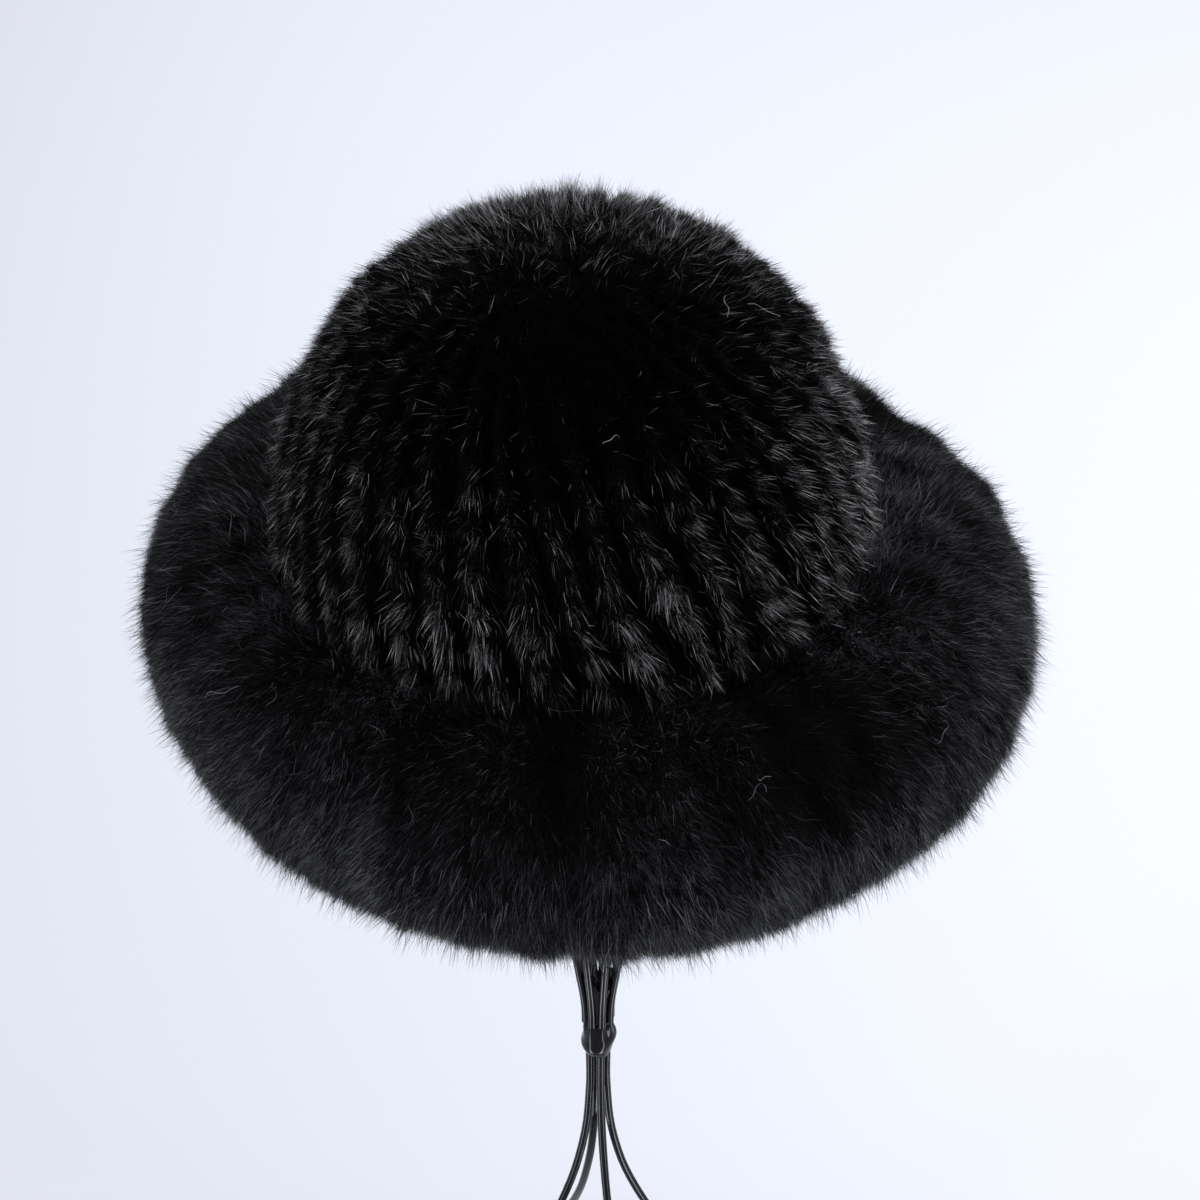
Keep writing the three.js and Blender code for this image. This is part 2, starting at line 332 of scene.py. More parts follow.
def finish_piece(item: Item, slot: Slot, material: Material, *nodes: str) -> None:
    """Gives a new piece its material and its body, and hides the CAD nodes that it stands for.

    Args:
        item: The piece.
        slot: Not used.
        material: What it is made of.
        nodes: The CAD nodes that it stands for, if any.
    """
    give_material(item, material)
    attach(item, BODY)
    if nodes:
        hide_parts(*nodes)
    triangles = sum(len(face.vertices) - 2 for face in item.data.polygons)
    log.info("%s: %d triangles", item.name, triangles)


@dataclass
class Hairs:
    """Hairs that each follow a line of points from root to tip, as thin tapering strips."""

    lines: Array  # hair, point, place
    widths: Array  # of each hair where it is widest
    tones: Array  # of each hair, from 0 for dark to 1 for pale
    seed: int
    taper: tuple[float, ...] = (0.75, 1.0, 0.7)  # width along the hair, whose tip is a point

    def piece(self, name: str, matrix: Matrix) -> Item:
        """Joins the hairs into one mesh.

        Args:
            name: The piece's name.
            matrix: From the hairs' own frame to the part's.

        Returns:
            The piece, with a UV map that says how pale and how far along a hair each point is.
        """
        count, steps = self.lines.shape[:2]
        rng = np.random.default_rng(self.seed)
        heading = unit(self.lines[:, 1] - self.lines[:, 0])
        first = unit(np.cross(heading, unit(rng.normal(size=(count, 3)))))
        shares = np.linspace(0, 1, steps)
        wide = np.interp(shares[:-1], np.linspace(0, 1, len(self.taper) + 1)[:-1], self.taper)
        half = 0.5 * self.widths[:, None, None] * wide[None, :, None] * first[:, None, :]
        pairs = np.stack([self.lines[:, :-1] - half, self.lines[:, :-1] + half], axis=2)
        points = np.concatenate([pairs.reshape(count, -1, 3), self.lines[:, -1:]], axis=1)
        points = placed(points.reshape(-1, 3), matrix)

        each = 2 * steps - 1
        quads = [[2 * k, 2 * k + 1, 2 * k + 3, 2 * k + 2] for k in range(steps - 2)]
        corners = np.array([c for quad in quads for c in quad] + [each - 3, each - 2, each - 1])
        starts = np.array([4 * k for k in range(steps - 1)])
        offsets = np.arange(count)
        corner_index = (corners[None, :] + each * offsets[:, None]).ravel()
        face_start = (starts[None, :] + len(corners) * offsets[:, None]).ravel()

        across = np.array([0.0, 1.0] * (steps - 1) + [0.5])
        along = np.append(np.repeat(shares[:-1], 2), 1.0)
        lane = MARGIN + TONES * np.clip(self.tones, 0, 1)
        u = lane[:, None] + STRAND * across[corners][None, :]
        v = np.broadcast_to(MARGIN + (1 - 2 * MARGIN) * along[corners][None, :], u.shape)

        data = bpy.data.meshes.new(name)
        data.vertices.add(len(points))
        data.vertices.foreach_set("co", points.ravel())
        data.loops.add(len(corner_index))
        data.loops.foreach_set("vertex_index", corner_index.astype(np.int32))
        data.polygons.add(len(face_start))
        data.polygons.foreach_set("loop_start", face_start.astype(np.int32))
        data.update(calc_edges=True)
        layer = data.uv_layers.new(name=STRAND_MAP)
        layer.data.foreach_set("uv", np.stack([u, v], axis=-1).ravel())
        data.polygons.foreach_set("use_smooth", np.ones(len(face_start), bool))
        return add_object(name, data)


@dataclass(frozen=True)
class Coat:
    """How the hairs of one layer of fur grow. Lengths are in metres."""

    count: int
    length: float
    spread_of_length: float
    lift: float  # how far a hair stands along the surface's normal
    lie: float  # how far it lies down the fall of the fur
    fan: float  # how far it leans to the side of its strip or lock
    stray: float  # how far its direction strays at random
    width: float
    tone: float  # middle of the hairs' tones
    tone_spread: float
    seed: int
    curl: float = 0.0  # how far its tip bends down the fall
    points: int = 2  # points along each hair
    crest: float = 0.0  # how much lighter the tones are on the crests of tufts than in the grooves: a painted sheen on the crests and painted shade in the grooves
    glint: float = 1.0  # the share of a patch's painted highlight that they take on

    def thinned(self) -> int:
        """The number of hairs."""
        return self.count


def grow(
    coat: Coat,
    roots: Array,
    normal: Array,
    fall: Array,
    side: Array,
    rng: np.random.Generator,
    stretch: Array | float = 1.0,
) -> Array:
    """Grows hairs from their roots.

    Args:
        coat: How they grow.
        roots: A place for each hair.
        normal: The direction out of the surface at each root.
        fall: The direction in which the fur lies there.
        side: The way in which each hair leans aside, and how far.
        rng: Where the random values come from.
        stretch: How many times the coat's length the hairs have.

    Returns:
        The line of points of each hair.
    """
    count = len(roots)
    spread = coat.spread_of_length * np.clip(rng.normal(size=(count, 1)), SHORTEST, LONGEST)
    length = coat.length * (1 + spread) * stretch
    stray = coat.stray * rng.normal(size=(count, 3))
    start = unit(coat.lift * normal + coat.lie * fall + coat.fan * side + stray)
    share = np.linspace(0, 1, coat.points)[None, :, None]
    bend = coat.curl * fall + BENT * coat.stray * rng.normal(size=(count, 3))
    return roots[:, None] + length[:, None] * (share * start[:, None] + 0.5 * share**2 * bend[:, None])


@dataclass(frozen=True)
class LooseHairs:
    """A few curly hairs that have come loose and lie on the fur."""

    count: int
    seed: int
    length: float = 0.015
    width: float = 0.00014
    points: int = 10
    tone: float = 0.75
    step: float = 0.01  # how far aside the surface is felt for its directions

    def over(
        self, surface: Callable[[Array, Array], Array], places: Sequence[tuple[float, float]]
    ) -> Hairs:
        """Curls the hairs over a surface, between the lowest and highest of its two coordinates.

        Args:
            surface: Gives the points of the surface for its two coordinates.
            places: The lowest of both coordinates, and the highest.

        Returns:
            The hairs, in the surface's own frame.
        """
        rng = np.random.default_rng(self.seed)
        low, high = np.array(places)
        first, second = rng.uniform(low, high, (self.count, 2)).T
        root = surface(first, second)
        ahead = unit(surface(first + self.step, second) - root)
        beside = unit(surface(first, second + self.step) - root)
        out = unit(np.cross(ahead, beside))
        out *= np.sign((out * root).sum(-1, keepdims=True))
        share = np.linspace(0, 1, self.points)[None, :]
        phase = rng.uniform(0, TURN, (self.count, 1))
        bend = rng.uniform(-3.5, 3.5, (self.count, 1))
        heading = phase + bend * share + 0.9 * np.sin(7 * share + 3 * phase)
        rise = 0.35 * np.sin(5 * share + 2 * phase)
        ways = ((np.cos(heading), ahead), (np.sin(heading), beside), (rise, out))
        steps = sum(size[..., None] * way[:, None] for size, way in ways)
        spans = self.length * rng.uniform(0.5, 1.2, (self.count, 1, 1)) / self.points
        lines = root[:, None] + np.cumsum(steps, axis=1) * spans
        widths = np.full(self.count, self.width)
        tones = np.full(self.count, self.tone)
        return Hairs(lines, widths, tones, self.seed, (1.0, 1.0))


class Fur(ABC):
    """A pelt that holds its form and layers of hairs on it, all in the hat's own frame."""

    slot: Slot
    solid: str  # the CAD node that the pelt stands for

    @abstractmethod
    def pelt(self, matrix: Matrix) -> Item:
        """The closed body of fur under the hairs, moved by a matrix."""

    @abstractmethod
    def layers(self) -> dict[str, Hairs]:
        """The layers of hairs, by the names of their pieces."""

    def build(self, placement: Placement, hair: Material, skin: Material) -> None:
        """Makes the pelt and its hairs.

        Args:
            placement: Where the stand is, and how the hat sits on it.
            hair: The hairs' material.
            skin: The pelt's material.
        """
        matrix = placement.hat()
        finish_piece(self.pelt(matrix), self.slot, skin, self.solid)
        for name, hairs in self.layers().items():
            finish_piece(hairs.piece(name, matrix), self.slot, hair)


# Finishes


class Wiring:
    """A short way to add and join the nodes of a material or a node group."""

    def __init__(self, tree: NodeTree) -> None:
        """Starts with an empty tree."""
        self.tree = tree
        tree.nodes.clear()

    def add(self, kind: str, inputs: Inputs | None = None, **settings: object) -> bpy.types.Node:
        """Adds a node.

        Args:
            kind: Which node it is.
            inputs: The value of each input, or the output that it is joined to. Colours have no alpha.
            settings: The node's own settings.

        Returns:
            The node.
        """
        node = self.tree.nodes.new(kind)
        for name, value in settings.items():
            setattr(node, name, value)
        for key, value in (inputs or {}).items():
            if isinstance(value, Socket):
                self.tree.links.new(value, node.inputs[key])
            elif node.inputs[key].type == "RGBA":
                node.inputs[key].default_value = (*value, 1.0)
            else:
                node.inputs[key].default_value = value
        return node

    def surface(self, inputs: Inputs) -> None:
        """Adds the main shader with its inputs, and joins it to the output."""
        shader = self.add("ShaderNodeBsdfPrincipled", inputs)
        self.add("ShaderNodeOutputMaterial", {"Surface": shader.outputs["BSDF"]})

    def coating(
        self, colour: object, roughness: object, specular: float, more: Inputs | None = None
    ) -> None:
        """Adds the main shader with what every coating has, and with more inputs if given."""
        inputs = {"Base Color": colour, "Roughness": roughness, "Specular IOR Level": specular}
        self.surface({**inputs, **(more or {})})

    def place(self) -> Socket:
        """The place on the piece."""
        return self.add("ShaderNodeTexCoord").outputs["Object"]

    def seen(self) -> Socket:
        """Whether it is the camera that sees the surface."""
        return self.add("ShaderNodeLightPath").outputs["Is Camera Ray"]

    def maths(self, operation: str, *values: object) -> Socket:
        """The outcome of an operation on numbers."""
        return self.add("ShaderNodeMath", dict(enumerate(values)), operation=operation).outputs[0]

    def vector(self, operation: str, output: str, *values: object) -> Socket:
        """The "Vector" or "Value" that comes of an operation on vectors."""
        node = self.add("ShaderNodeVectorMath", dict(enumerate(values)), operation=operation)
        return node.outputs[output]

    def ramp(
        self,
        value: Socket,
        start: float = 0.0,
        end: float = 1.0,
        low: object = 0.0,
        high: object = 1.0,
        smooth: bool = False,
    ) -> Socket:
        """A value that goes from low to high as another goes from start to end.

        Args:
            value: The value that is followed.
            start: Where the ramp starts.
            end: Where it ends.
            low: What it gives up to its start.
            high: What it gives from its end.
            smooth: Whether it eases in and out.

        Returns:
            The output that gives the value.
        """
        inputs = {"Value": value, "From Min": start, "From Max": end, "To Min": low, "To Max": high}
        kind = "SMOOTHSTEP" if smooth else "LINEAR"
        return self.add("ShaderNodeMapRange", inputs, interpolation_type=kind).outputs["Result"]

    def blend(self, share: object, first: object, second: object) -> Socket:
        """The colour at a share of the way from one to another."""
        inputs = {"Factor": share, "A": first, "B": second}
        return self.add("ShaderNodeMix", inputs, data_type="RGBA").outputs["Result"]

    def noise(self, place: object, scale: object, detail: float = 2.0) -> Socket:
        """Smooth noise, finer for a larger scale."""
        inputs = {"Vector": place, "Scale": scale, "Detail": detail}
        return self.add("ShaderNodeTexNoise", inputs).outputs["Fac"]

    def bump(self, height: object, strength: float, distance: float) -> Socket:
        """The normal of a surface with a height on it."""
        inputs = {"Height": height, "Strength": strength, "Distance": distance}
        return self.add("ShaderNodeBump", inputs).outputs["Normal"]


def new_group(
    name: str, colours: Sequence[str], numbers: dict[str, float], outputs: dict[str, str]
) -> tuple[NodeTree, Wiring, bpy.types.bpy_prop_collection]:
    """Starts a node group.

    Args:
        name: The group's name.
        colours: The names of the colours that it is given.
        numbers: The numbers that it is given, and the value of each where none is.
        outputs: What it puts out, and the kind of socket for each.

    Returns:
        The group, its wiring and the outputs of the node that holds what it is given.
    """
    group = bpy.data.node_groups.new(name, "ShaderNodeTree")
    for label in colours:
        group.interface.new_socket(name=label, in_out="INPUT", socket_type="NodeSocketColor")
    for label, value in numbers.items():
        socket = group.interface.new_socket(name=label, in_out="INPUT", socket_type="NodeSocketFloat")
        socket.default_value = value
    for label, kind in outputs.items():
        group.interface.new_socket(name=label, in_out="OUTPUT", socket_type=kind)
    wiring = Wiring(group)
    return group, wiring, wiring.add("NodeGroupInput").outputs


class Effects:
    """Node groups that more than one material uses, each made when it is first asked for."""

    @cached_property
    def strand_shade(self) -> NodeTree:
        """The colour and roughness of a hair, by its tone and from its root to its tip, with the pale
        colour on the palest hairs as a painted glint.

        Returns:
            The group, which puts out a colour and a roughness.
        """
        numbers = {"Softest": 0.6, "Glossiest": 0.3}
        outputs = {"Colour": "NodeSocketColor", "Roughness": "NodeSocketFloat"}
        group, wiring, given = new_group("strand_shade", ("Root", "Tip", "Pale"), numbers, outputs)
        hair = wiring.add("ShaderNodeUVMap", uv_map=STRAND_MAP).outputs["UV"]
        split = wiring.add("ShaderNodeSeparateXYZ", {0: hair}).outputs
        tone, along = split["X"], split["Y"]
        grown = wiring.ramp(along, 0.05, 0.85, smooth=True)
        # tones near 0, where painted shade pushes them, keep the root's colour all along the hair
        to_tip = wiring.ramp(tone, 0.0, 0.25, high=grown)
        to_pale = wiring.ramp(tone, 0.35, 1.0, smooth=True)
        colour = wiring.blend(to_pale, wiring.blend(to_tip, given["Root"], given["Tip"]), given["Pale"])
        gloss = wiring.ramp(tone, low=given["Softest"], high=given["Glossiest"])
        wiring.add("NodeGroupOutput", {"Colour": colour, "Roughness": gloss})
        return group

    @cached_property
    def nap(self) -> NodeTree:
        """Fine mottling and a bumpy height, for the pelt under the hairs and for knit.

        Returns:
            The group, which puts out a colour and a height.
        """
        numbers = {"Coarse": 180.0, "Fine": 1400.0}
        outputs = {"Colour": "NodeSocketColor", "Height": "NodeSocketFloat"}
        group, wiring, given = new_group("nap", ("Dark", "Light"), numbers, outputs)
        place = wiring.place()
        coarse, fine = (wiring.noise(place, given[label], 3.0) for label in numbers)
        shade = wiring.ramp(wiring.maths("MULTIPLY", coarse, fine), 0.14, 0.4, smooth=True)
        colour = wiring.blend(shade, given["Dark"], given["Light"])
        wiring.add("NodeGroupOutput", {"Colour": colour, "Height": fine})
        return group


def new_material(name: str) -> tuple[Material, Wiring]:
    """An empty material and its wiring.

    Args:
        name: Its name.

    Returns:
        The material and its wiring.
    """
    material = bpy.data.materials.new(name)
    material.use_nodes = True
    return material, Wiring(material.node_tree)


@dataclass(frozen=True)
class HairFinish:
    """Glossy hair, darker at its root."""

    name: str
    root: Colour
    tip: Colour
    # pale: the colour of the palest hairs, which is a painted glint
    pale: Colour
    softest: float  # roughness of the darkest hairs
    glossiest: float  # roughness of the palest
    specular: float

    def material(self, effects: Effects) -> Material:
        """Makes the material.

        Args:
            effects: The node groups that materials share.

        Returns:
            The material.
        """
        material, wiring = new_material(self.name)
        labels = ("Root", "Tip", "Pale", "Softest", "Glossiest")
        given = {label: getattr(self, label.lower()) for label in labels}
        shade = wiring.add("ShaderNodeGroup", given, node_tree=effects.strand_shade).outputs
        wiring.coating(shade["Colour"], shade["Roughness"], self.specular)
        return material


@dataclass(frozen=True)
class NapFinish:
    """Matte cloth or skin with a fine nap."""

    name: str
    dark: Colour
    light: Colour
    coarse: float  # scale of its mottling
    fine: float  # scale of its nap
    bump: float
    roughness: float
    specular: float

    def material(self, effects: Effects) -> Material:
        """Makes the material.

        Args:
            effects: The node groups that materials share.

        Returns:
            The material.
        """
        material, wiring = new_material(self.name)
        given = {"Dark": self.dark, "Light": self.light, "Coarse": self.coarse, "Fine": self.fine}
        nap = wiring.add("ShaderNodeGroup", given, node_tree=effects.nap).outputs
        bumpy = {"Normal": wiring.bump(nap["Height"], self.bump, 0.5 * MM)}
        wiring.coating(nap["Colour"], self.roughness, self.specular, bumpy)
        return material


@dataclass(frozen=True)
class GlossPaint:
    """Black paint dipped on wire, glossy and slightly uneven."""

    name: str
    dark: Colour
    worn: Colour
    grain: float  # scale of its mottling
    ripples: float  # scale of its unevenness
    smoothest: float = 0.03
    roughest: float = 0.11
    specular: float = 0.17

    def material(self) -> Material:
        """Makes the material.

        Returns:
            The material.
        """
        material, wiring = new_material(self.name)
        place = wiring.place()
        grain = wiring.noise(place, self.grain)
        colour = wiring.blend(grain, self.dark, self.worn)
        roughness = wiring.ramp(grain, low=self.smoothest, high=self.roughest)
        bumpy = {"Normal": wiring.bump(wiring.noise(place, self.ripples), 0.25, 0.4 * MM)}
        wiring.coating(colour, roughness, self.specular, bumpy)
        return material


# their pale colours are painted glints on the palest hairs
SHORT_HAIR = HairFinish(
    name="short fur hair", root=(0.0006, 0.0006, 0.00065), tip=(0.017, 0.017, 0.0182),
    pale=(0.84, 0.84, 0.87), softest=1.0, glossiest=0.2, specular=0.1,
)
LONG_HAIR = HairFinish(
    name="long fur hair", root=(0.0014, 0.0015, 0.0017), tip=(0.014, 0.0149, 0.0178),
    pale=(0.42, 0.43, 0.48), softest=0.8, glossiest=0.35, specular=0.18,
)
SHORT_PELT = NapFinish(
    name="short fur pelt", dark=(0.0004, 0.0004, 0.0005), light=(0.0013, 0.0013, 0.0014),
    coarse=160, fine=900, bump=0.9, roughness=0.95, specular=0.05,
)
LONG_PELT = NapFinish(
    name="long fur pelt", dark=(0.0008, 0.0009, 0.001), light=(0.003, 0.0032, 0.0038), coarse=120,
    fine=700, bump=0.9, roughness=0.95, specular=0.1,
)
KNIT = NapFinish(
    name="knit backing", dark=(0.006, 0.006, 0.0065), light=(0.02, 0.02, 0.021), coarse=260,
    fine=1100, bump=0.8, roughness=0.9, specular=0.3,
)
PAINT = GlossPaint("gloss black paint", (0.004, 0.004, 0.0045), (0.01, 0.01, 0.011), 240, 90)


# The crown


@dataclass(frozen=True)
class Patch:
    """A part of the crown where the fur lies in its own way, round a place in the hat's own frame, and
    where painted light and shade change its hairs' tones.
    """

    place: Place
    radius: float
    upright: float  # from 0 for fur that lies as elsewhere to 1 for fur that stands up
    painted_light_and_tone: float  # painted light and shade: what it adds to the hairs' tones, a painted highlight above 0 and painted shade below
    longer: float = 0.0  # what it adds to their length, as a share of it

    def weight(self, points: Array) -> Array:
        """How much each point is in the patch, from 0 to 1."""
        return np.exp(-((points - self.place) ** 2).sum(-1) / self.radius**2)


@dataclass
class CrownFur(Fur):
    """Strips of short fur round the knit crown, which wind down from its top to a lobed hem."""

    slot = Slot.SHORT_FUR
    solid = "crown_fur"
    radius: float = 0.108
    widest: float = 0.030
    rise: float = 0.124
    flat_top: float = 0.72
    flat_side: float = 0.9
    hem: float = 0.045
    hem_lobe: float = 0.0025
    depth: float = 0.0122  # from the hairs' tips to the pelt's inner face
    strips: int = 38
    twist: float = math.radians(26)
    relief: float = 0.0078  # how far a strip stands above the groove beside it
    tuft: float = 0.0125  # length of a tuft along its strip
    tuft_relief: float = 0.6  # the largest share of the relief that is lost where a tuft breaks off
    most_tufts: int = 24  # on one strip
    lump: float = 0.0005  # how far the fur's own lumps stand out
    pelt_inset: float = 0.001  # how deep the pelt lies under the fur's outline
    columns: int = 380
    outer_rows: int = 96
    inner_rows: int = 6
    patches: tuple[Patch, ...] = (
        Patch((0.008, -0.042, 0.146), 0.048, 0.8, -0.55),  # painted shade on the top front, where the fur also stands up
        Patch((-0.042, -0.098, 0.06), 0.032, 0.0, 0.21),  # painted highlight low on the front left
        Patch((0.045, -0.095, 0.072), 0.032, 0.0, 0.14),  # painted highlight low on the front right
        Patch((0.105, -0.02, 0.07), 0.05, 0.1, 0.26, 0.1),  # painted highlight on the right side
        Patch((0.0, 0.06, 0.14), 0.055, 0.3, 0.42, 0.35),  # painted highlight on the back, where the fur also stands up and is longer
        Patch((-0.075, -0.01, 0.13), 0.03, 0.0, 0.08),  # painted highlight on the upper left
    )
    wobble: float = 0.17  # how far the strips stray from their paths, in their own widths
    crowding: float = 1.15  # how much hairs crowd on the tufts, from 0 for evenly to 1 and more
    tries: int = 4  # places drawn for each hair, as those in the grooves are left out
    root_depth: float = 0.0003  # how deep hairs are rooted in the pelt
    loose_height: float = 0.0034  # of loose hairs over the surface
    step: float = 0.004  # how far up and down the outline is felt for its slope
    underfur: Coat = Coat(
        count=188000, length=0.0031, spread_of_length=0.25, lift=0.85, lie=0.28, fan=0.24,
        stray=0.3, width=0.00026, tone=0.28, tone_spread=0.12, seed=11, crest=0.66, glint=0.35,
    )
    guard: Coat = Coat(
        count=50000, length=0.0058, spread_of_length=0.36, lift=0.64, lie=0.6, fan=0.36, stray=0.1,
        curl=0.15, width=0.00015, points=3, tone=0.22, tone_spread=0.3, seed=12, crest=0.3,
    )

    def hem_angle(self) -> float:
        """The angle up the crown's side at which the fur ends."""
        return math.asin(((self.hem - self.widest) / self.rise) ** (1 / self.flat_side))

    def outline(self, down: Array, inset: Array | float = 0.0) -> tuple[Array, Array]:
        """How far out and how high the fur's outline is at a share of the way down.

        Args:
            down: From 0 at the top to 1 at the hem.
            inset: How deep under the outline to look.

        Returns:
            The distances from the axis and the heights.
        """
        angle = mix(math.pi / 2, self.hem_angle(), down)
        out = (self.radius - inset) * np.maximum(np.cos(angle), 0) ** self.flat_top
        up = self.widest + (self.rise - inset) * np.sin(angle) ** self.flat_side
        return out, up

    def fall_length(self) -> float:
        """How far it is from the top to the hem over the fur."""
        out, up = self.outline(np.linspace(0, 1, 200))
        return float(np.hypot(np.diff(out), np.diff(up)).sum())

    def strip_at(self, down: Array, turn: Array) -> tuple[Array, Array]:
        """Which strip a place is on, and how far across it from 0 to 1.

        Args:
            down: How far down each place is, from 0 at the top to 1 at the hem.
            turn: The angle of each place round the crown.

        Returns:
            The strips' numbers and the shares across them.
        """
        place = self.strips * (turn - self.twist * down) / TURN
        place = place + self.wobble * ripple(polar(np.ones_like(down), turn, down), size=0.22, seed=8)
        strip = np.floor(place)
        return strip.astype(int) % self.strips, place - strip

    def tuft_at(self, down: Array, strip: Array) -> tuple[Array, Array]:
        """Which tuft of its strip a place is on, and how far along it from 0 to 1.

        Args:
            down: How far down each place is, from 0 at the top to 1 at the hem.
            strip: Which strip each place is on.

        Returns:
            The tufts' numbers on their strips and the shares along them.
        """
        first, second, third = np.random.default_rng(73).uniform(0, 1, (3, self.strips))[:, strip]
        late = first + 0.34 * np.sin(8 * down + 6.3 * second) + 0.16 * np.sin(21 * down + 6.3 * third)
        place = 0.5 + down * self.fall_length() / self.tuft + late
        tuft = np.floor(place)
        return np.clip(tuft, 0, self.most_tufts - 1).astype(int), place - tuft

    def fullness(self, down: Array, turn: Array) -> Array:
        """How full the fur stands, from 1 on a tuft's crest to 0 in the groove between strips.

        Args:
            down: How far down each place is, from 0 at the top to 1 at the hem.
            turn: The angle of each place round the crown.

        Returns:
            The fullness at each place.
        """
        strip, across = self.strip_at(down, turn)
        tuft, along = self.tuft_at(down, strip)
        drawn = np.random.default_rng(72).uniform((0.78, 0.35), 1.0, (self.strips, self.most_tufts, 2))
        size, breaks = drawn[strip, tuft].T
        ridge = np.sin(math.pi * across) ** 0.7
        mound = np.sin(math.pi * along**1.2) ** 0.6
        return size * ridge * (1 - self.tuft_relief * breaks * (1 - mound))

    def closed(self, points: Array) -> Array:
        """How far fur that stands up closes the grooves between strips, from 0 to 1."""
        return np.clip(sum(patch.upright * patch.weight(points) for patch in self.patches), 0, 1)

    def sunk(self, down: Array, turn: Array) -> Array:
        """How deep the fur's surface lies under the crests of its strips.

        Args:
            down: How far down each place is, from 0 at the top to 1 at the hem.
            turn: The angle of each place round the crown.

        Returns:
            The depth at each place.
        """
        out, up = self.outline(down)
        points = polar(out, turn, up)
        fade = np.minimum(1.0, 0.15 + 2.6 * down) * (1 - 0.85 * self.closed(points))
        lumps = self.lump * (1 - ripple(points, size=0.0045, seed=3))
        return self.relief * fade * (1 - self.fullness(down, turn)) + lumps

    def surface(self, down: Array, turn: Array, deeper: float = 0.0) -> Array:
        """Points of the fur's surface, or of one deeper under it."""
        out, up = self.outline(down, self.sunk(down, turn) + deeper)
        return polar(out, turn, up)

    def pelt(self, matrix: Matrix) -> Item:
        """The closed body of fur under the hairs, moved by a matrix.

        Args:
            matrix: From the piece's own frame to the part's.

        Returns:
            The piece.
        """
        rows = self.outer_rows + self.inner_rows + 1

        def form(around: Array, row: Array) -> Array:
            """Bends the grid over the fur, under its hem and back up inside.

            Args:
                around: How far round the body each point is, from 0 to 1.
                row: The row of the grid that each point is on.

            Returns:
                The points.
            """
            turn = TURN * around
            down = np.clip(row / self.outer_rows, 0, 1)
            wound = turn + self.twist * down
            outer = self.surface(down, wound, self.pelt_inset)
            across = self.strip_at(down, wound)[1]
            at_hem = np.clip((down - 0.97) / 0.03, 0, 1)
            outer[:, 2] -= self.hem_lobe * np.sin(math.pi * across) ** 2 * at_hem
            back = np.clip((rows - row) / self.inner_rows, 0, 1)
            out, up = self.outline(back, self.depth)
            inner = polar(out, turn + self.twist * back, up)
            return np.where((row > self.outer_rows)[:, None], inner, outer)

        return closed_sheet("crown_pelt", self.columns, rows, matrix, form)

    def directions(self, down: Array, turn: Array, roots: Array) -> tuple[Array, Array, Array]:
        """The directions out of the crown, down along its strips and level round it.

        Args:
            down: How far down each place is, from 0 at the top to 1 at the hem.
            turn: The angle of each place round the crown.
            roots: Where the hairs are rooted.

        Returns:
            The three directions at each root.
        """
        lower = self.outline(np.clip(down + self.step, 0, 1))
        upper = self.outline(np.clip(down - self.step, 0, 1))
        fall = unit(polar(lower[0] - upper[0], turn, lower[1] - upper[1]))
        level = polar(1.0, turn + math.pi / 2, 0.0)
        normal = unit(np.cross(fall, level))
        normal *= np.sign((normal * roots).sum(-1, keepdims=True))
        slant = self.twist * lower[0][:, None] / self.fall_length()
        return normal, unit(fall + slant * level), level

    def hairs(self, coat: Coat) -> Hairs:
        """One layer of hairs over the whole crown, fewer in the grooves than on the tufts.

        Args:
            coat: How the hairs grow.

        Returns:
            The hairs, in the hat's own frame.
        """
        rng = np.random.default_rng(coat.seed)
        count = coat.thinned()
        tries = count * self.tries
        grid = np.linspace(0, 1, 400)
        down = drawn_by_area(grid, self.outline(grid), tries, rng)
        turn = rng.uniform(0, TURN, tries)
        out, up = self.outline(down)
        bare = self.crowding * (1 - self.closed(polar(out, turn, up)))
        bare *= np.minimum(1.0, 0.3 + 2.6 * down) * (1 - self.fullness(down, turn))
        kept = rng.uniform(size=tries) < 1 - bare
        down, turn = down[kept][:count], turn[kept][:count]

        strip, across = self.strip_at(down, turn)
        tuft, along = self.tuft_at(down, strip)
        roots = self.surface(down, turn, self.pelt_inset + self.root_depth)
        normal, fall, level = self.directions(down, turn, roots)
        near_top = np.clip(1.6 - 8 * down, 0, 1)[:, None]
        clumps = np.random.default_rng(71).normal(size=(self.strips, self.most_tufts, 3))
        side = level * (2 * (across[:, None] - 0.5)) + 0.7 * fall * (along[:, None] - 0.5)
        side = side + (0.5 + 1.2 * near_top) * ripples(roots, size=0.005, seed=60)
        side = side + 0.5 * clumps[strip, tuft]

        weights = np.stack([patch.weight(roots) for patch in self.patches], axis=-1)
        traits = np.array([(patch.upright, patch.longer, patch.painted_light_and_tone) for patch in self.patches])
        upright, longer, painted_light_and_tone = (weights @ traits).T
        lying = 1 - np.maximum(np.clip(upright, 0, 0.9)[:, None], 0.7 * near_top)
        lines = grow(coat, roots, normal, fall * lying, side, rng, 1 + longer[:, None])
        tones = coat.tone + coat.tone_spread * rng.normal(size=len(roots))
        tones += 0.06 * ripple(roots, size=0.02, seed=coat.seed + 40)
        tones += 0.06 * ripple(roots, size=0.006, seed=44)
        # painted light: the patches' painted highlight and shade, then a painted sheen on the tufts'
        # crests and painted shade in the grooves
        tones += np.where(painted_light_and_tone > 0, coat.glint * painted_light_and_tone, painted_light_and_tone)
        tones += coat.crest * (self.fullness(down, turn) - 0.75)
        widths = coat.width * rng.uniform(0.8, 1.2, len(roots))
        return Hairs(lines, widths, tones, coat.seed + 80)

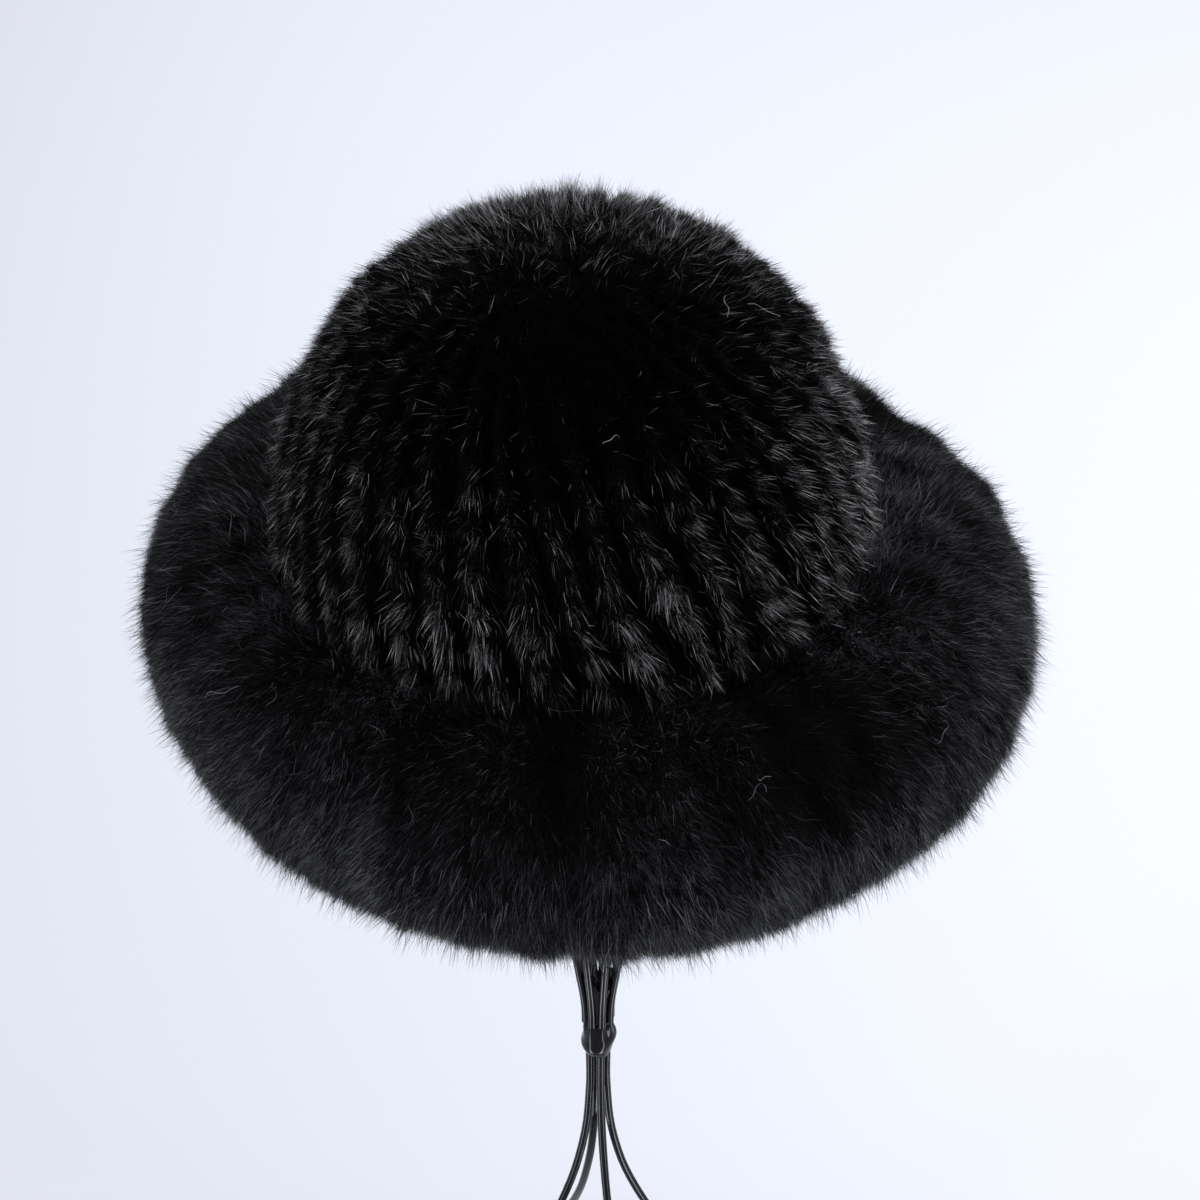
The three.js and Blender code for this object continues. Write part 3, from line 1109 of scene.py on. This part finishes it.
    def layers(self) -> dict[str, Hairs]:
        """The layers of hairs, by the names of their pieces.

        Returns:
            The hairs of each layer.
        """
        loose = LooseHairs(count=22, seed=52)
        return {
            "crown_underfur": self.hairs(self.underfur),
            "crown_guard_hairs": self.hairs(self.guard),
            "crown_loose_hairs": loose.over(
                lambda down, turn: self.surface(down, turn, -self.loose_height),
                ((0.1, 0.0), (0.95, TURN)),
            ),
        }


# The brim


@dataclass(frozen=True)
class Wave:
    """A swell in the brim's outline, so many times round the hat and highest at an angle in degrees."""

    count: int
    swell: float
    at: float


@dataclass(frozen=True)
class Dent:
    """A place round the brim where its fur is pressed in. Angles are in degrees."""

    at: float
    spread: float
    depth: float


@dataclass
class BrimFur(Fur):
    """The deep rolled brim of long fur."""

    slot = Slot.LONG_FUR
    solid = "brim_fur"
    inner: float = 0.0954
    reach: float = 0.160
    waves: tuple[Wave, ...] = (Wave(1, 0.0036, 2), Wave(2, 0.0066, -45), Wave(3, 0.0021, 23))
    dents: tuple[Dent, ...] = (
        Dent(-92, 5, 0.004),  # parting at the front
        Dent(-56, 12, 0.005),  # hollow at the front right
        Dent(33, 7, 0.005),  # notch at the back right
    )
    section: Profile = (  # from 0 at the crown to 1 at the outline
        (0.02, 0.034),  # seam
        (0.14, 0.0385),  # inner slope
        (0.37, 0.040),  # ridge
        (0.62, 0.0345),  # shoulder
        (0.81, 0.0225),  # side
        (0.925, 0.006),  # upper edge
        (0.925, -0.009),  # lower edge
        (0.84, -0.022),  # turn
        (0.7, -0.032),  # hem
        (0.6, -0.038),  # hem's end
    )
    under: Profile = (
        (0.585, -0.0304),  # edge of the wall
        (0.02, 0.0056),  # top of the wall
    )
    locks: int = 36
    relief: float = 0.0032  # how far a lock stands above the groove beside it
    lump: float = 0.0009  # how far the fur's small lumps stand out
    pelt_sink: float = 0.0002  # how deep the pelt lies under the locks
    columns: int = 288
    outer_rows: int = 60
    clumps_around: int = 190
    clumps_along: int = 24
    gather: float = 0.3  # how far a tip is drawn to the middle of its clump
    root_depth: float = 0.0004  # how deep hairs are rooted in the pelt
    loose_height: float = 0.005  # of loose hairs over the surface
    droop: float = 0.22  # how far hairs hang down, beside their lie
    parting: float = 0.42  # how far from the parting the fur turns from it, in radians
    streaks: int = 192  # paler and darker ones round the brim
    underfur: Coat = Coat(
        count=350000, length=0.0052, spread_of_length=0.34, lift=0.76, lie=0.5, fan=0.2,
        stray=0.32, width=0.00025, tone=0.25, tone_spread=0.17, seed=21,
    )
    guard: Coat = Coat(
        count=56000, length=0.0066, spread_of_length=0.3, lift=0.68, lie=0.6, fan=0.2, stray=0.18,
        width=0.00018, tone=0.33, tone_spread=0.34, seed=22,
    )
    fuzz: Coat = Coat(
        count=21000, length=0.0104, spread_of_length=0.34, lift=0.86, lie=0.34, fan=0.16,
        stray=0.3, width=0.00016, points=3, tone=0.3, tone_spread=0.2, seed=23,
    )

    def edge(self, angle: Array) -> Array:
        """The distance from the axis to the brim's outline."""
        swells = [wave.swell * np.cos(wave.count * (angle - math.radians(wave.at))) for wave in self.waves]
        return self.reach + sum(swells)

    def dent(self, angle: Array) -> Array:
        """How deep the dents are at an angle.

        Args:
            angle: The angle of each place round the brim.

        Returns:
            The depth at each angle.
        """
        total = np.zeros_like(angle)
        for dent in self.dents:
            apart = turned_from(angle, dent.at) / math.radians(dent.spread)
            total = total + dent.depth * np.exp(-(apart**2))
        return total

    def last(self) -> int:
        """The place of the hem's end, counted along the section."""
        return len(self.section) - 1

    def section_at(self, place: Array) -> tuple[Array, Array]:
        """The section's smooth curve through its points, as shares out and heights.

        Args:
            place: How far along the section each place is.

        Returns:
            The shares from the brim's inside to its outline, and the heights.
        """
        known = np.array(self.section)
        place = np.clip(place, 0, self.last())
        row = np.minimum(np.floor(place).astype(int), self.last() - 1)
        t = (place - row)[..., None]
        before, a, b, after = (known[np.clip(row + k, 0, self.last())] for k in range(-1, 3))
        square = 2 * before - 5 * a + 4 * b - after
        cube = 3 * a - before - 3 * b + after
        curve = 0.5 * (2 * a + (b - before) * t + square * t**2 + cube * t**3)
        return curve[..., 0], curve[..., 1]

    def backing(self, angle: Array, place: Array) -> Array:
        """Points on the backing of the fur, at a place along the section.

        Args:
            angle: The angle of each place round the brim.
            place: How far along the section each place is.

        Returns:
            The points, in the hat's own frame.
        """
        out, up = self.section_at(place)
        dent = self.dent(angle) * np.sin(math.pi * np.clip(place / self.last(), 0, 1))
        points = polar(mix(self.inner, self.edge(angle), out), angle, up)
        return points - polar(dent * out, angle, np.maximum(0, 1 - out) * dent)

    def directions(self, angle: Array, place: Array) -> tuple[Array, Array, Array]:
        """The directions out of the surface, down the fall of the fur and across it.

        Args:
            angle: The angle of each place round the brim.
            place: How far along the section each place is.

        Returns:
            The three directions at each place.
        """
        ahead = np.minimum(place + 0.25, self.last())
        behind = np.maximum(place - 0.25, 0)
        fall = unit(self.backing(angle, ahead) - self.backing(angle, behind))
        across = unit(self.backing(angle + 0.02, place) - self.backing(angle - 0.02, place))
        return unit(np.cross(fall, across)), fall, across

    def raised(self, angle: Array, place: Array) -> Array:
        """How far the fur's locks stand above the backing.

        Args:
            angle: The angle of each place round the brim.
            place: How far along the section each place is.

        Returns:
            The height over the backing at each place.
        """
        lock = self.locks * angle / TURN
        number = np.floor(lock)
        share = place / self.last()
        full = self.relief * np.clip(np.minimum(4 * share, 4 * (1 - share)), 0, 1)
        broken = 0.78 + 0.22 * np.sin(TURN * (share * 4 + number * 0.381))
        return full * (0.25 + 0.6 * np.sin(math.pi * (lock - number)) ** 2 * broken)

    def surface(self, angle: Array, place: Array, sink: float = 0.0) -> Array:
        """Points of the locks' surface, or of one deeper under it.

        Args:
            angle: The angle of each place round the brim.
            place: How far along the section each place is.
            sink: How deep under the locks to look.

        Returns:
            The points, in the hat's own frame.
        """
        normal = self.directions(angle, place)[0]
        points = self.backing(angle, place)
        lumps = self.lump * ripple(points * (1, 1, 0.6), size=0.0075, seed=5)
        return points + normal * (self.raised(angle, place) + lumps - sink)[..., None]

    def pelt(self, matrix: Matrix) -> Item:
        """The closed ring of fur under the hairs, moved by a matrix.

        Args:
            matrix: From the piece's own frame to the part's.

        Returns:
            The piece.
        """
        rows = self.outer_rows + len(self.under) + 1

        def form(around: Array, row: Array) -> Array:
            """Bends the grid over the locks, under the hem and back along the wall.

            Args:
                around: How far round the body each point is, from 0 to 1.
                row: The row of the grid that each point is on.

            Returns:
                The points.
            """
            angle = TURN * around
            share = np.clip(row / self.outer_rows, 0, 1)
            place = share * self.last()
            fade = np.clip(np.minimum(12 * share, 12 * (1 - share)), 0, 1)
            sunk = self.directions(angle, place)[0] * (self.pelt_sink * fade)[:, None]
            points = self.surface(angle, place) - sunk
            for under_row, (out, up) in enumerate(self.under, self.outer_rows + 1):
                below = polar(mix(self.inner, self.edge(angle), out), angle, up)
                points = np.where((row == under_row)[:, None], below, points)
            return np.where((row == rows)[:, None], self.surface(angle, np.zeros_like(angle)), points)

        return closed_sheet("brim_pelt", self.columns, rows, matrix, form)

    def clump_at(self, angle: Array, place: Array, seed: int) -> tuple[Array, Array]:
        """The angle and place in the middle of the clump that each hair is in.

        Args:
            angle: The angle of each place round the brim.
            place: How far along the section each place is.
            seed: Which pattern of hairs it is.

        Returns:
            The clumps' angles and their places along the section.
        """
        row = np.floor(place / self.last() * self.clumps_along).astype(int)
        late = 0.5 * (row % 2)
        column = np.floor(angle / TURN * self.clumps_around + late).astype(int)
        clumps = (self.clumps_around + 1, self.clumps_along + 1, 2)
        jitter = np.random.default_rng(seed + 500).uniform(-0.35, 0.35, clumps)
        shift = jitter[column % self.clumps_around, np.clip(row, 0, self.clumps_along)]
        middle = (column + 0.5 + shift[:, 0] - late) * TURN / self.clumps_around
        down = (row + 0.5 + shift[:, 1]) * self.last() / self.clumps_along
        return middle, np.clip(down, 0, self.last())

    def hairs(self, coat: Coat, start: float, end: float, seed: int, share: float = 1.0) -> Hairs:
        """One layer of hairs over a stretch of the section.

        Args:
            coat: How they grow.
            start: Where the stretch starts along the section.
            end: Where it ends.
            seed: Which pattern of hairs it is.
            share: How many of the coat's hairs grow here.

        Returns:
            The hairs, in the hat's own frame.
        """
        rng = np.random.default_rng(seed)
        count = round(coat.thinned() * share)
        places = np.linspace(start, end, 300)
        out, up = self.section_at(places)
        place = drawn_by_area(places, (mix(self.inner, self.reach, out), up), count, rng)
        angle = rng.uniform(0, TURN, count)
        lines = self.lines(coat, angle, place, rng)
        middle = self.lines(coat, *self.clump_at(angle, place, seed), None)
        pull = (self.gather * np.linspace(0, 1, coat.points) ** 1.3)[None, :, None]
        lines = lines + pull * rng.uniform(0.2, 1.2, (count, 1, 1)) * (middle - lines)

        tones = coat.tone + coat.tone_spread * rng.normal(size=count)
        # a random ripple, and painted light and shade by place round the brim
        tones += 0.1 * ripple(lines[:, 0], size=0.03, seed=seed + 40) + self.painted_light_and_tone(angle, place)
        widths = coat.width * rng.uniform(0.75, 1.2, count)
        return Hairs(lines, widths, tones, seed + 80)

    def from_parting(self, angle: Array) -> Array:
        """How far an angle is from the parting at the front, which is the first dent."""
        return turned_from(angle, self.dents[0].at)

    def parted(self, angle: Array) -> Array:
        """How much of the parting is at an angle, from 0 to 1 in its middle."""
        return np.exp(-((self.from_parting(angle) / self.parting) ** 2))

    def streak(self, angle: Array) -> Array:
        """How pale the streak of fur at an angle is, beside its neighbours.

        Args:
            angle: The angle of each place round the brim.

        Returns:
            The values, about 0 on the whole.
        """
        streaks = np.random.default_rng(91).normal(size=self.streaks)
        streaks = 0.6 * (streaks + (np.roll(streaks, 1) + np.roll(streaks, -1)) / 2)
        knots = np.linspace(0, TURN, self.streaks + 1)
        return np.interp(angle % TURN, knots, np.append(streaks, streaks[0]))

    def painted_light_and_tone(self, angle: Array, place: Array) -> Array:
        """Painted light and shade in the fur's tones: lighter low down, towards +X and by its seam, and
        darker in its dents and parting, with random streaks.

        Args:
            angle: The angle of each place round the brim.
            place: How far along the section each place is.

        Returns:
            What is added to the hairs' tones.
        """
        parted = self.parted(angle)
        upper = np.clip((5.2 - place) / 2, 0, 1)
        # painted light: lighter low down on the brim and towards +X
        low = 0.1 * np.clip((place - 3.0) / 1.6, 0, 1) + 0.06 * np.cos(angle)
        # painted light by the seam, where the crown's shade falls, less at the parting
        painted_seam_light = 0.2 * (1 - 0.8 * parted) * np.clip((3.2 - place) / 2.2, 0, 1)
        # painted shade in the dents and the parting, on the upper brim
        dark = (0.14 * parted + 95 * self.dent(angle)) * upper
        streaky = (0.03 + 0.06 * parted * upper) * self.streak(angle + 0.04 * np.sin(place))
        return low + painted_seam_light - dark + streaky

    def lines(self, coat: Coat, angle: Array, place: Array, rng: np.random.Generator | None) -> Array:
        """The lines of hairs, or without an rng the tidy lines in the middle of clumps.

        Args:
            coat: How the hairs grow.
            angle: The angle of each place round the brim.
            place: How far along the section each place is.
            rng: Where the random values come from, or None for tidy lines.

        Returns:
            The line of points of each hair.
        """
        normal, fall, across = self.directions(angle, place)
        roots = self.surface(angle, place, self.pelt_sink + self.root_depth)
        lock = self.locks * angle / TURN
        side = across * (2 * (lock - np.floor(lock)) - 1)[:, None]
        side = side + across * 1.4 * ripple(roots, size=0.035, seed=7)[:, None]
        side = side + 0.7 * ripples(roots, size=0.008, seed=75)
        side = side + across * (5 * self.from_parting(angle) * self.parted(angle))[:, None]
        lying = np.clip(0.3 + place / 2, 0, 1)[:, None]
        drop = np.array([0.0, 0.0, -self.droop]) * lying
        if rng is None:
            rng = np.random.default_rng(coat.seed + 300)
            coat = replace(coat, stray=0.0, spread_of_length=0.0)
        lines = grow(coat, roots, normal, fall * lying + drop, side, rng)
        share = np.linspace(0, 1, coat.points)[None, :, None]
        return lines + coat.length * 0.5 * share**2 * (drop - 0.12 * normal)[:, None]

    def layers(self) -> dict[str, Hairs]:
        """The layers of hairs, by the names of their pieces.

        Returns:
            The hairs of each layer.
        """
        loose = LooseHairs(count=24, seed=53)
        return {
            "brim_underfur_inner": self.hairs(self.underfur, 0.1, 4.6, seed=31, share=0.5),
            "brim_underfur_outer": self.hairs(self.underfur, 3.8, 8.9, seed=32, share=0.5),
            "brim_guard_hairs": self.hairs(self.guard, 0.2, 8.8, seed=33),
            "brim_fuzz": self.hairs(self.fuzz, 0.2, 8.8, seed=34),
            "brim_loose_hairs": loose.over(
                lambda angle, place: self.surface(angle, place, -self.loose_height),
                ((0.0, 0.6), (TURN, 5.0)),
            ),
        }


# The stand


@dataclass
class WireStand:
    """A cage of wires that fills the hat, a melted collar, four legs and a foot ring."""

    wire: float = 0.0016
    ribs: int = 8
    legs: int = 4
    height: float = Placement.brim_height
    neck_top: float = -0.198
    neck_bottom: float = -0.214
    collar_radius: float = 0.0064
    run_height: float = 0.027
    hub_radius: float = 0.009
    hub_height: float = 0.005
    hub_edge: float = 0.001  # how far its edges are rounded
    hub_top: float = 0.1361
    foot_radius: float = 0.082
    foot_wire: float = 0.0025
    leg_bundle: float = 0.0034
    leg_straight: float = 0.018
    seat: float = 0.0004
    sharp: float = math.radians(40)  # edges sharper than this stay so
    round_columns: int = 96  # faces round the collar and the paint
    collar_bore: float = 0.0008  # how far from the axis the collar's inside lies
    run_bore: float = 0.0006  # and the paint's
    cage: Profile = (  # over the brim's middle
        (0.0096, 0.1336), (0.030, 0.1285), (0.052, 0.112), (0.066, 0.086),
        (0.070, 0.056), (0.064, 0.020), (0.051, -0.020), (0.036, -0.062),
        (0.022, -0.105), (0.0125, -0.142), (0.0077, -0.171), (0.0052, -0.190),
        (0.0050, -0.1976),
    )

    def bent_wire(self, name: str, points: Profile, angle: float, matrix: Matrix) -> Item:
        """A round wire through points that lie in one plane through the stand's axis.

        Args:
            name: Its name.
            points: The points in that plane.
            angle: The angle of the plane round the axis.
            matrix: From the stand's own frame to the part's.

        Returns:
            The wire.
        """
        item = add_mesh(bpy.ops.curve.primitive_nurbs_path_add, name)
        curve = item.data
        curve.splines.clear()
        spline = curve.splines.new("BEZIER")
        spline.bezier_points.add(len(points) - 1)
        for knot, (out, up) in zip(spline.bezier_points, points):
            knot.co = matrix @ Vector((out * math.cos(angle), out * math.sin(angle), up))
            knot.handle_left_type = knot.handle_right_type = "AUTO"
        spline.resolution_u = 5
        curve.dimensions = "3D"
        curve.bevel_depth = self.wire
        curve.bevel_resolution = 3
        curve.use_fill_caps = True
        item.matrix_world = Matrix.Identity(4)
        activate(item)
        bpy.ops.object.convert(target="MESH")
        item = bpy.context.active_object
        item.data.name = name
        bpy.ops.object.shade_smooth_by_angle(angle=self.sharp)
        return item

    def leg(self) -> Profile:
        """The outline of a leg, straight down from the collar and then out to the foot ring.

        Returns:
            The points, from the top down.
        """
        top = self.neck_bottom - self.seat
        bend = top - self.leg_straight
        end = 2 * self.foot_wire + self.seat + self.wire * math.sqrt(0.5) - self.height
        shares = np.linspace(0, 1, 6)
        bent = zip(mix(self.leg_bundle, self.foot_radius, shares**2), mix(bend, end, shares))
        return ((self.leg_bundle, top), *bent)

    def collar(self, matrix: Matrix) -> Item:
        """The melted joint that gathers the wires, swollen low down and wavy where its metal ran.

        Args:
            matrix: From the piece's own frame to the part's.

        Returns:
            The piece.
        """
        rows = 48
        middle = (self.neck_top + self.neck_bottom) / 2
        half = (self.neck_top - self.neck_bottom) / 2

        def form(around: Array, row: Array) -> Array:
            """Bends the grid round the collar's section and round its axis.

            Args:
                around: How far round the body each point is, from 0 to 1.
                row: The row of the grid that each point is on.

            Returns:
                The points.
            """
            angle = TURN * around
            turn = TURN * row / rows
            level = np.sin(turn)
            side = 0.5 + 0.5 * np.sign(np.cos(turn)) * np.abs(np.cos(turn)) ** 0.4
            bulge = 0.92 + 0.15 * np.exp(-(((level + 0.2 - 0.3 * np.cos(angle - 0.4)) / 0.4) ** 2))
            wave = 1 + 0.05 * np.sin(2 * angle + 0.6) + 0.04 * np.sin(3 * angle + 2 + 2 * level)
            flutes = 1 + 0.06 * np.cos(self.ribs * angle) * np.maximum(level, 0)
            out = mix(self.collar_bore, self.collar_radius * bulge * wave * flutes, side)
            above = 0.0011 * np.cos(angle - 2.9) + 0.0006 * np.cos(self.ribs * angle)
            below = -0.0008 * np.cos(angle + 0.9)
            run = np.where(level > 0, above, below) * np.abs(level)
            return polar(out, angle, middle + half * level + run)

        return closed_sheet("collar_melt", self.round_columns, rows, matrix, form)

    def run(self, matrix: Matrix) -> Item:
        """A solid in the wires' paint that fills the gaps between the wires over the collar, so that none
        show.

        Args:
            matrix: From the piece's own frame to the part's.

        Returns:
            The piece.
        """
        rows = 24
        half = rows // 2
        heights, reaches = np.array(sorted((up, out) for out, up in self.cage)).T

        def form(around: Array, row: Array) -> Array:
            """Bends the grid up the outside of the paint, between two poles.

            Args:
                around: How far round the body each point is, from 0 to 1.
                row: The row of the grid that each point is on.

            Returns:
                The points.
            """
            angle = TURN * around
            rise = self.run_height * (1 + 0.12 * np.sin(2 * angle + 1))
            up = self.neck_top - 0.001 + rise * np.interp(row, (0, 1, half, rows), (0, 0, 1, 0))
            swell = np.interp(row, (0, 1, half - 2, half, rows), (0, 1, 1, 0, 0))
            reach = 0.9 * np.interp(up, heights, reaches) * (1 + 0.04 * np.cos(self.ribs * angle))
            return polar(mix(self.run_bore, reach, swell), angle, up)

        return closed_sheet("wire_gap_fill", self.round_columns, rows, matrix, form)

    def hub(self, matrix: Matrix) -> Item:
        """The small disc under the crown's top, with its edges rounded.

        Args:
            matrix: From the piece's own frame to the part's.

        Returns:
            The piece.
        """
        disc = {"vertices": 48, "radius": self.hub_radius, "depth": self.hub_height}
        item = add_mesh(bpy.ops.mesh.primitive_cylinder_add, "hub_disc", **disc)
        edge = item.modifiers.new("edge", "BEVEL")
        edge.width = self.hub_edge
        edge.segments = 3
        activate(item)
        bpy.ops.object.modifier_apply(modifier=edge.name)
        middle = (0, 0, self.hub_top - self.hub_height / 2)
        move_vertices(item, placed(coordinates(item) + middle, matrix))
        bpy.ops.object.shade_smooth_by_angle(angle=self.sharp)
        return item

    def foot(self, matrix: Matrix) -> Item:
        """The ring that the stand rests on.

        Args:
            matrix: From the piece's own frame to the part's.

        Returns:
            The piece.
        """
        ring = {"major_radius": self.foot_radius, "minor_radius": self.foot_wire}
        detail = {"major_segments": 128, "minor_segments": 20}
        item = add_mesh(bpy.ops.mesh.primitive_torus_add, "foot_ring_wire", **ring, **detail)
        middle = (0, 0, self.foot_wire - self.height)
        move_vertices(item, placed(coordinates(item) + middle, matrix))
        activate(item)
        bpy.ops.object.shade_smooth()
        return item

    def build(self, placement: Placement, paint: Material) -> None:
        """Makes the wires, the collar, the hub and the foot ring.

        Args:
            placement: Where the stand is, and how the hat sits on it.
            paint: The wires' material.
        """
        matrix = placement.stand()
        wires = {"rib": (self.ribs, self.cage), "leg": (self.legs, self.leg())}
        for kind, (count, points) in wires.items():
            for number in range(count):
                angle = TURN * number / count
                item = self.bent_wire(f"{kind}_wire_{number + 1}", points, angle, matrix)
                finish_piece(item, Slot.WIRE, paint, f"{kind}_{number + 1}")
        finish_piece(self.collar(matrix), Slot.WIRE, paint, "collar")
        finish_piece(self.run(matrix), Slot.WIRE, paint)
        finish_piece(self.hub(matrix), Slot.WIRE, paint, "hub")
        finish_piece(self.foot(matrix), Slot.WIRE, paint, "foot_ring")


def dress_node(name: str, material: Material) -> None:
    """Gives a CAD node that stays its material."""
    give_material(frame["nodes"][name], material)
    log.info("%s: dressed", name)


# The studio


@dataclass(frozen=True)
class Lamp:
    """A soft light, square or oblong, at a place round the hat and turned to it."""

    name: str
    place: Place
    width: float
    depth: float
    watts: float
    colour: Colour = (1.0, 1.0, 1.0)


def turn_to(item: Item, place: Vector, centre: Vector) -> None:
    """Puts a lamp or the camera at a place and turns it to the centre."""
    item.location = place
    item.rotation_euler = (centre - place).to_track_quat("-Z", "Y").to_euler()


@dataclass
class Studio:
    """A pale floor, a pale surround, soft lamps and the camera."""

    aim: Place = (0.0007, -0.0010, 0.4027)  # from the foot of the stand's axis
    distance: float = 1.6
    elevation: float = math.radians(38)
    lens: float = 134.4
    sensor: float = 36.0
    floor_size: float = 14.0
    floor_colour: Colour = (0.76, 0.785, 0.86)
    surround: Colour = (0.87, 0.89, 0.99)
    surround_light: float = 0.17  # what the surround gives
    surround_seen: float = 0.95  # and what the camera sees of it
    floor_glow: float = 0.245  # where the floor is brightest near the hat
    dim_share: float = 0.42  # of that glow, where it is darkest
    brighter_to: Place = (1.0, 0.3, 0.0)  # the way in which it brightens
    brighter_over: tuple[float, float] = (-0.4, 0.3)  # from where to where that way
    far_glow: float = 0.56  # what it gains far from the hat
    far_over: tuple[float, float] = (1.1, 3.4)  # how far from it that starts and ends
    side_glow: float = 0.83  # its glow outside the main view
    view_middle: Place = (0.0, 0.3, 0.0)
    side_slope: Place = (0.83, 2.0, 0.0)  # how fast it rises away from there
    side_start: Place = (-0.42, -2.8, 0.0)  # and what it starts from
    card_glow: float = 10.0
    card_bearings: tuple[float, ...] = (-52, 48)
    card_place: tuple[float, float] = (0.34, 0.01)  # how far out and how high
    card_size: Place = (0.06, 0.5, 1)
    lamps: tuple[Lamp, ...] = (
        Lamp("top back lamp", (0.25, 1.5, 1.6), 1.6, 0.9, 16),
        Lamp("right lamp", (1.6, 0.35, 1.0), 0.8, 1.2, 19),
        Lamp("left lamp", (-1.6, -0.2, 1.1), 0.8, 1.2, 12),
        Lamp("front lamp", (-0.2, -1.9, 0.5), 1.6, 0.6, 2.5),
        Lamp("right strip lamp", (1.2, -0.7, 0.8), 0.25, 0.9, 3.5),
        Lamp("left strip lamp", (-1.2, -0.9, 0.8), 0.25, 0.9, 4),
    )

    def glow(self, wiring: Wiring) -> Socket:
        """The floor's glow, which is brighter to the right, far away and outside the main view.

        Args:
            wiring: The floor material's wiring.

        Returns:
            The output that gives the glow.
        """
        place = wiring.place()
        across = wiring.vector("DOT_PRODUCT", "Value", place, self.brighter_to)
        levels = (self.dim_share * self.floor_glow, self.floor_glow)
        near = wiring.ramp(across, *self.brighter_over, *levels, smooth=True)
        apart = wiring.vector("LENGTH", "Value", place)
        far = wiring.ramp(apart, *self.far_over, high=self.far_glow, smooth=True)
        middle = wiring.vector("SUBTRACT", "Vector", place, self.view_middle)
        aside = wiring.vector("ABSOLUTE", "Vector", middle)
        past = wiring.vector("MULTIPLY_ADD", "Vector", aside, self.side_slope, self.side_start)
        split = wiring.add("ShaderNodeSeparateXYZ", {0: past}).outputs
        outside = wiring.maths("MAXIMUM", split["X"], split["Y"])
        beside = wiring.ramp(outside, high=self.side_glow, smooth=True)
        return wiring.maths("MAXIMUM", wiring.maths("ADD", near, far), beside)

    def floor(self) -> None:
        """A pale plane, which glows a little for the camera so that it reads as a lit sweep."""
        item = add_mesh(bpy.ops.mesh.primitive_plane_add, "floor", size=self.floor_size)
        material, wiring = new_material("floor")
        strength = wiring.maths("MULTIPLY", wiring.seen(), self.glow(wiring))
        glowing = {"Emission Color": self.surround, "Emission Strength": strength}
        wiring.coating(self.floor_colour, 1.0, 0.0, glowing)
        give_material(item, material)

    def cards(self) -> None:
        """Low white cards beside the stand, which show only as streaks in its gloss."""
        material, wiring = new_material("card")
        wiring.surface({"Emission Color": self.surround, "Emission Strength": self.card_glow})
        out, up = self.card_place
        for number, bearing in enumerate(self.card_bearings, 1):
            turn = math.radians(bearing)
            item = add_mesh(bpy.ops.mesh.primitive_plane_add, f"card {number}", size=1)
            item.location = (out * math.sin(turn), -out * math.cos(turn), up)
            item.scale = self.card_size
            item.rotation_euler.z = turn
            item.visible_camera = item.visible_diffuse = item.visible_shadow = False
            give_material(item, material)

    def world(self) -> None:
        """A pale surround, brighter to the camera than the light that it gives."""
        world = bpy.data.worlds.new("surround")
        bpy.context.scene.world = world
        world.use_nodes = True
        wiring = Wiring(world.node_tree)
        given = {0: wiring.seen()}
        for number, strength in enumerate((self.surround_light, self.surround_seen), 1):
            inputs = {"Color": self.surround, "Strength": strength}
            given[number] = wiring.add("ShaderNodeBackground", inputs).outputs[0]
        both = wiring.add("ShaderNodeMixShader", given)
        wiring.add("ShaderNodeOutputWorld", {"Surface": both.outputs[0]})

    def light(self, centre: Vector) -> None:
        """Adds the lamps, turned to the hat.

        Args:
            centre: The point that they are turned to.
        """
        for lamp in self.lamps:
            data = bpy.data.lights.new(lamp.name, "AREA")
            data.shape = "RECTANGLE"
            data.size = lamp.width
            data.size_y = lamp.depth
            data.energy = lamp.watts
            data.color = lamp.colour
            turn_to(add_object(lamp.name, data), Vector(lamp.place), centre)

    def camera(self, centre: Vector) -> None:
        """The camera, level and looking down at the hat's front.

        Args:
            centre: The point that it is turned to.
        """
        data = bpy.data.cameras.new("camera")
        data.lens = self.lens
        data.sensor_width = self.sensor
        data.clip_start = 0.05
        item = add_object("camera", data)
        back = Vector((0.0, -math.cos(self.elevation), math.sin(self.elevation)))
        turn_to(item, centre + back * self.distance, centre)
        bpy.context.scene.camera = item

    def build(self, placement: Placement) -> None:
        """Sets up the whole studio round the object.

        Args:
            placement: Where the stand is, and how the hat sits on it.
        """
        centre = placement.axis() + Vector(self.aim)
        self.floor()
        self.cards()
        self.world()
        self.light(centre)
        self.camera(centre)
        bpy.context.scene.view_settings.view_transform = "Standard"
        log.info("studio: %d lamps", len(self.lamps))


def main() -> None:
    """Builds the hat, the stand and the studio."""
    logging.basicConfig(level=logging.INFO, format="%(name)s %(message)s")
    placement = Placement()
    effects = Effects()
    short_hair = SHORT_HAIR.material(effects)
    long_hair = LONG_HAIR.material(effects)
    CrownFur().build(placement, short_hair, SHORT_PELT.material(effects))
    BrimFur().build(placement, long_hair, LONG_PELT.material(effects))
    WireStand().build(placement, PAINT.material())
    knit = KNIT.material(effects)
    for name in ("crown", "brim"):
        dress_node(name, knit)
    Studio().build(placement)


if __name__ == "__main__":
    main()
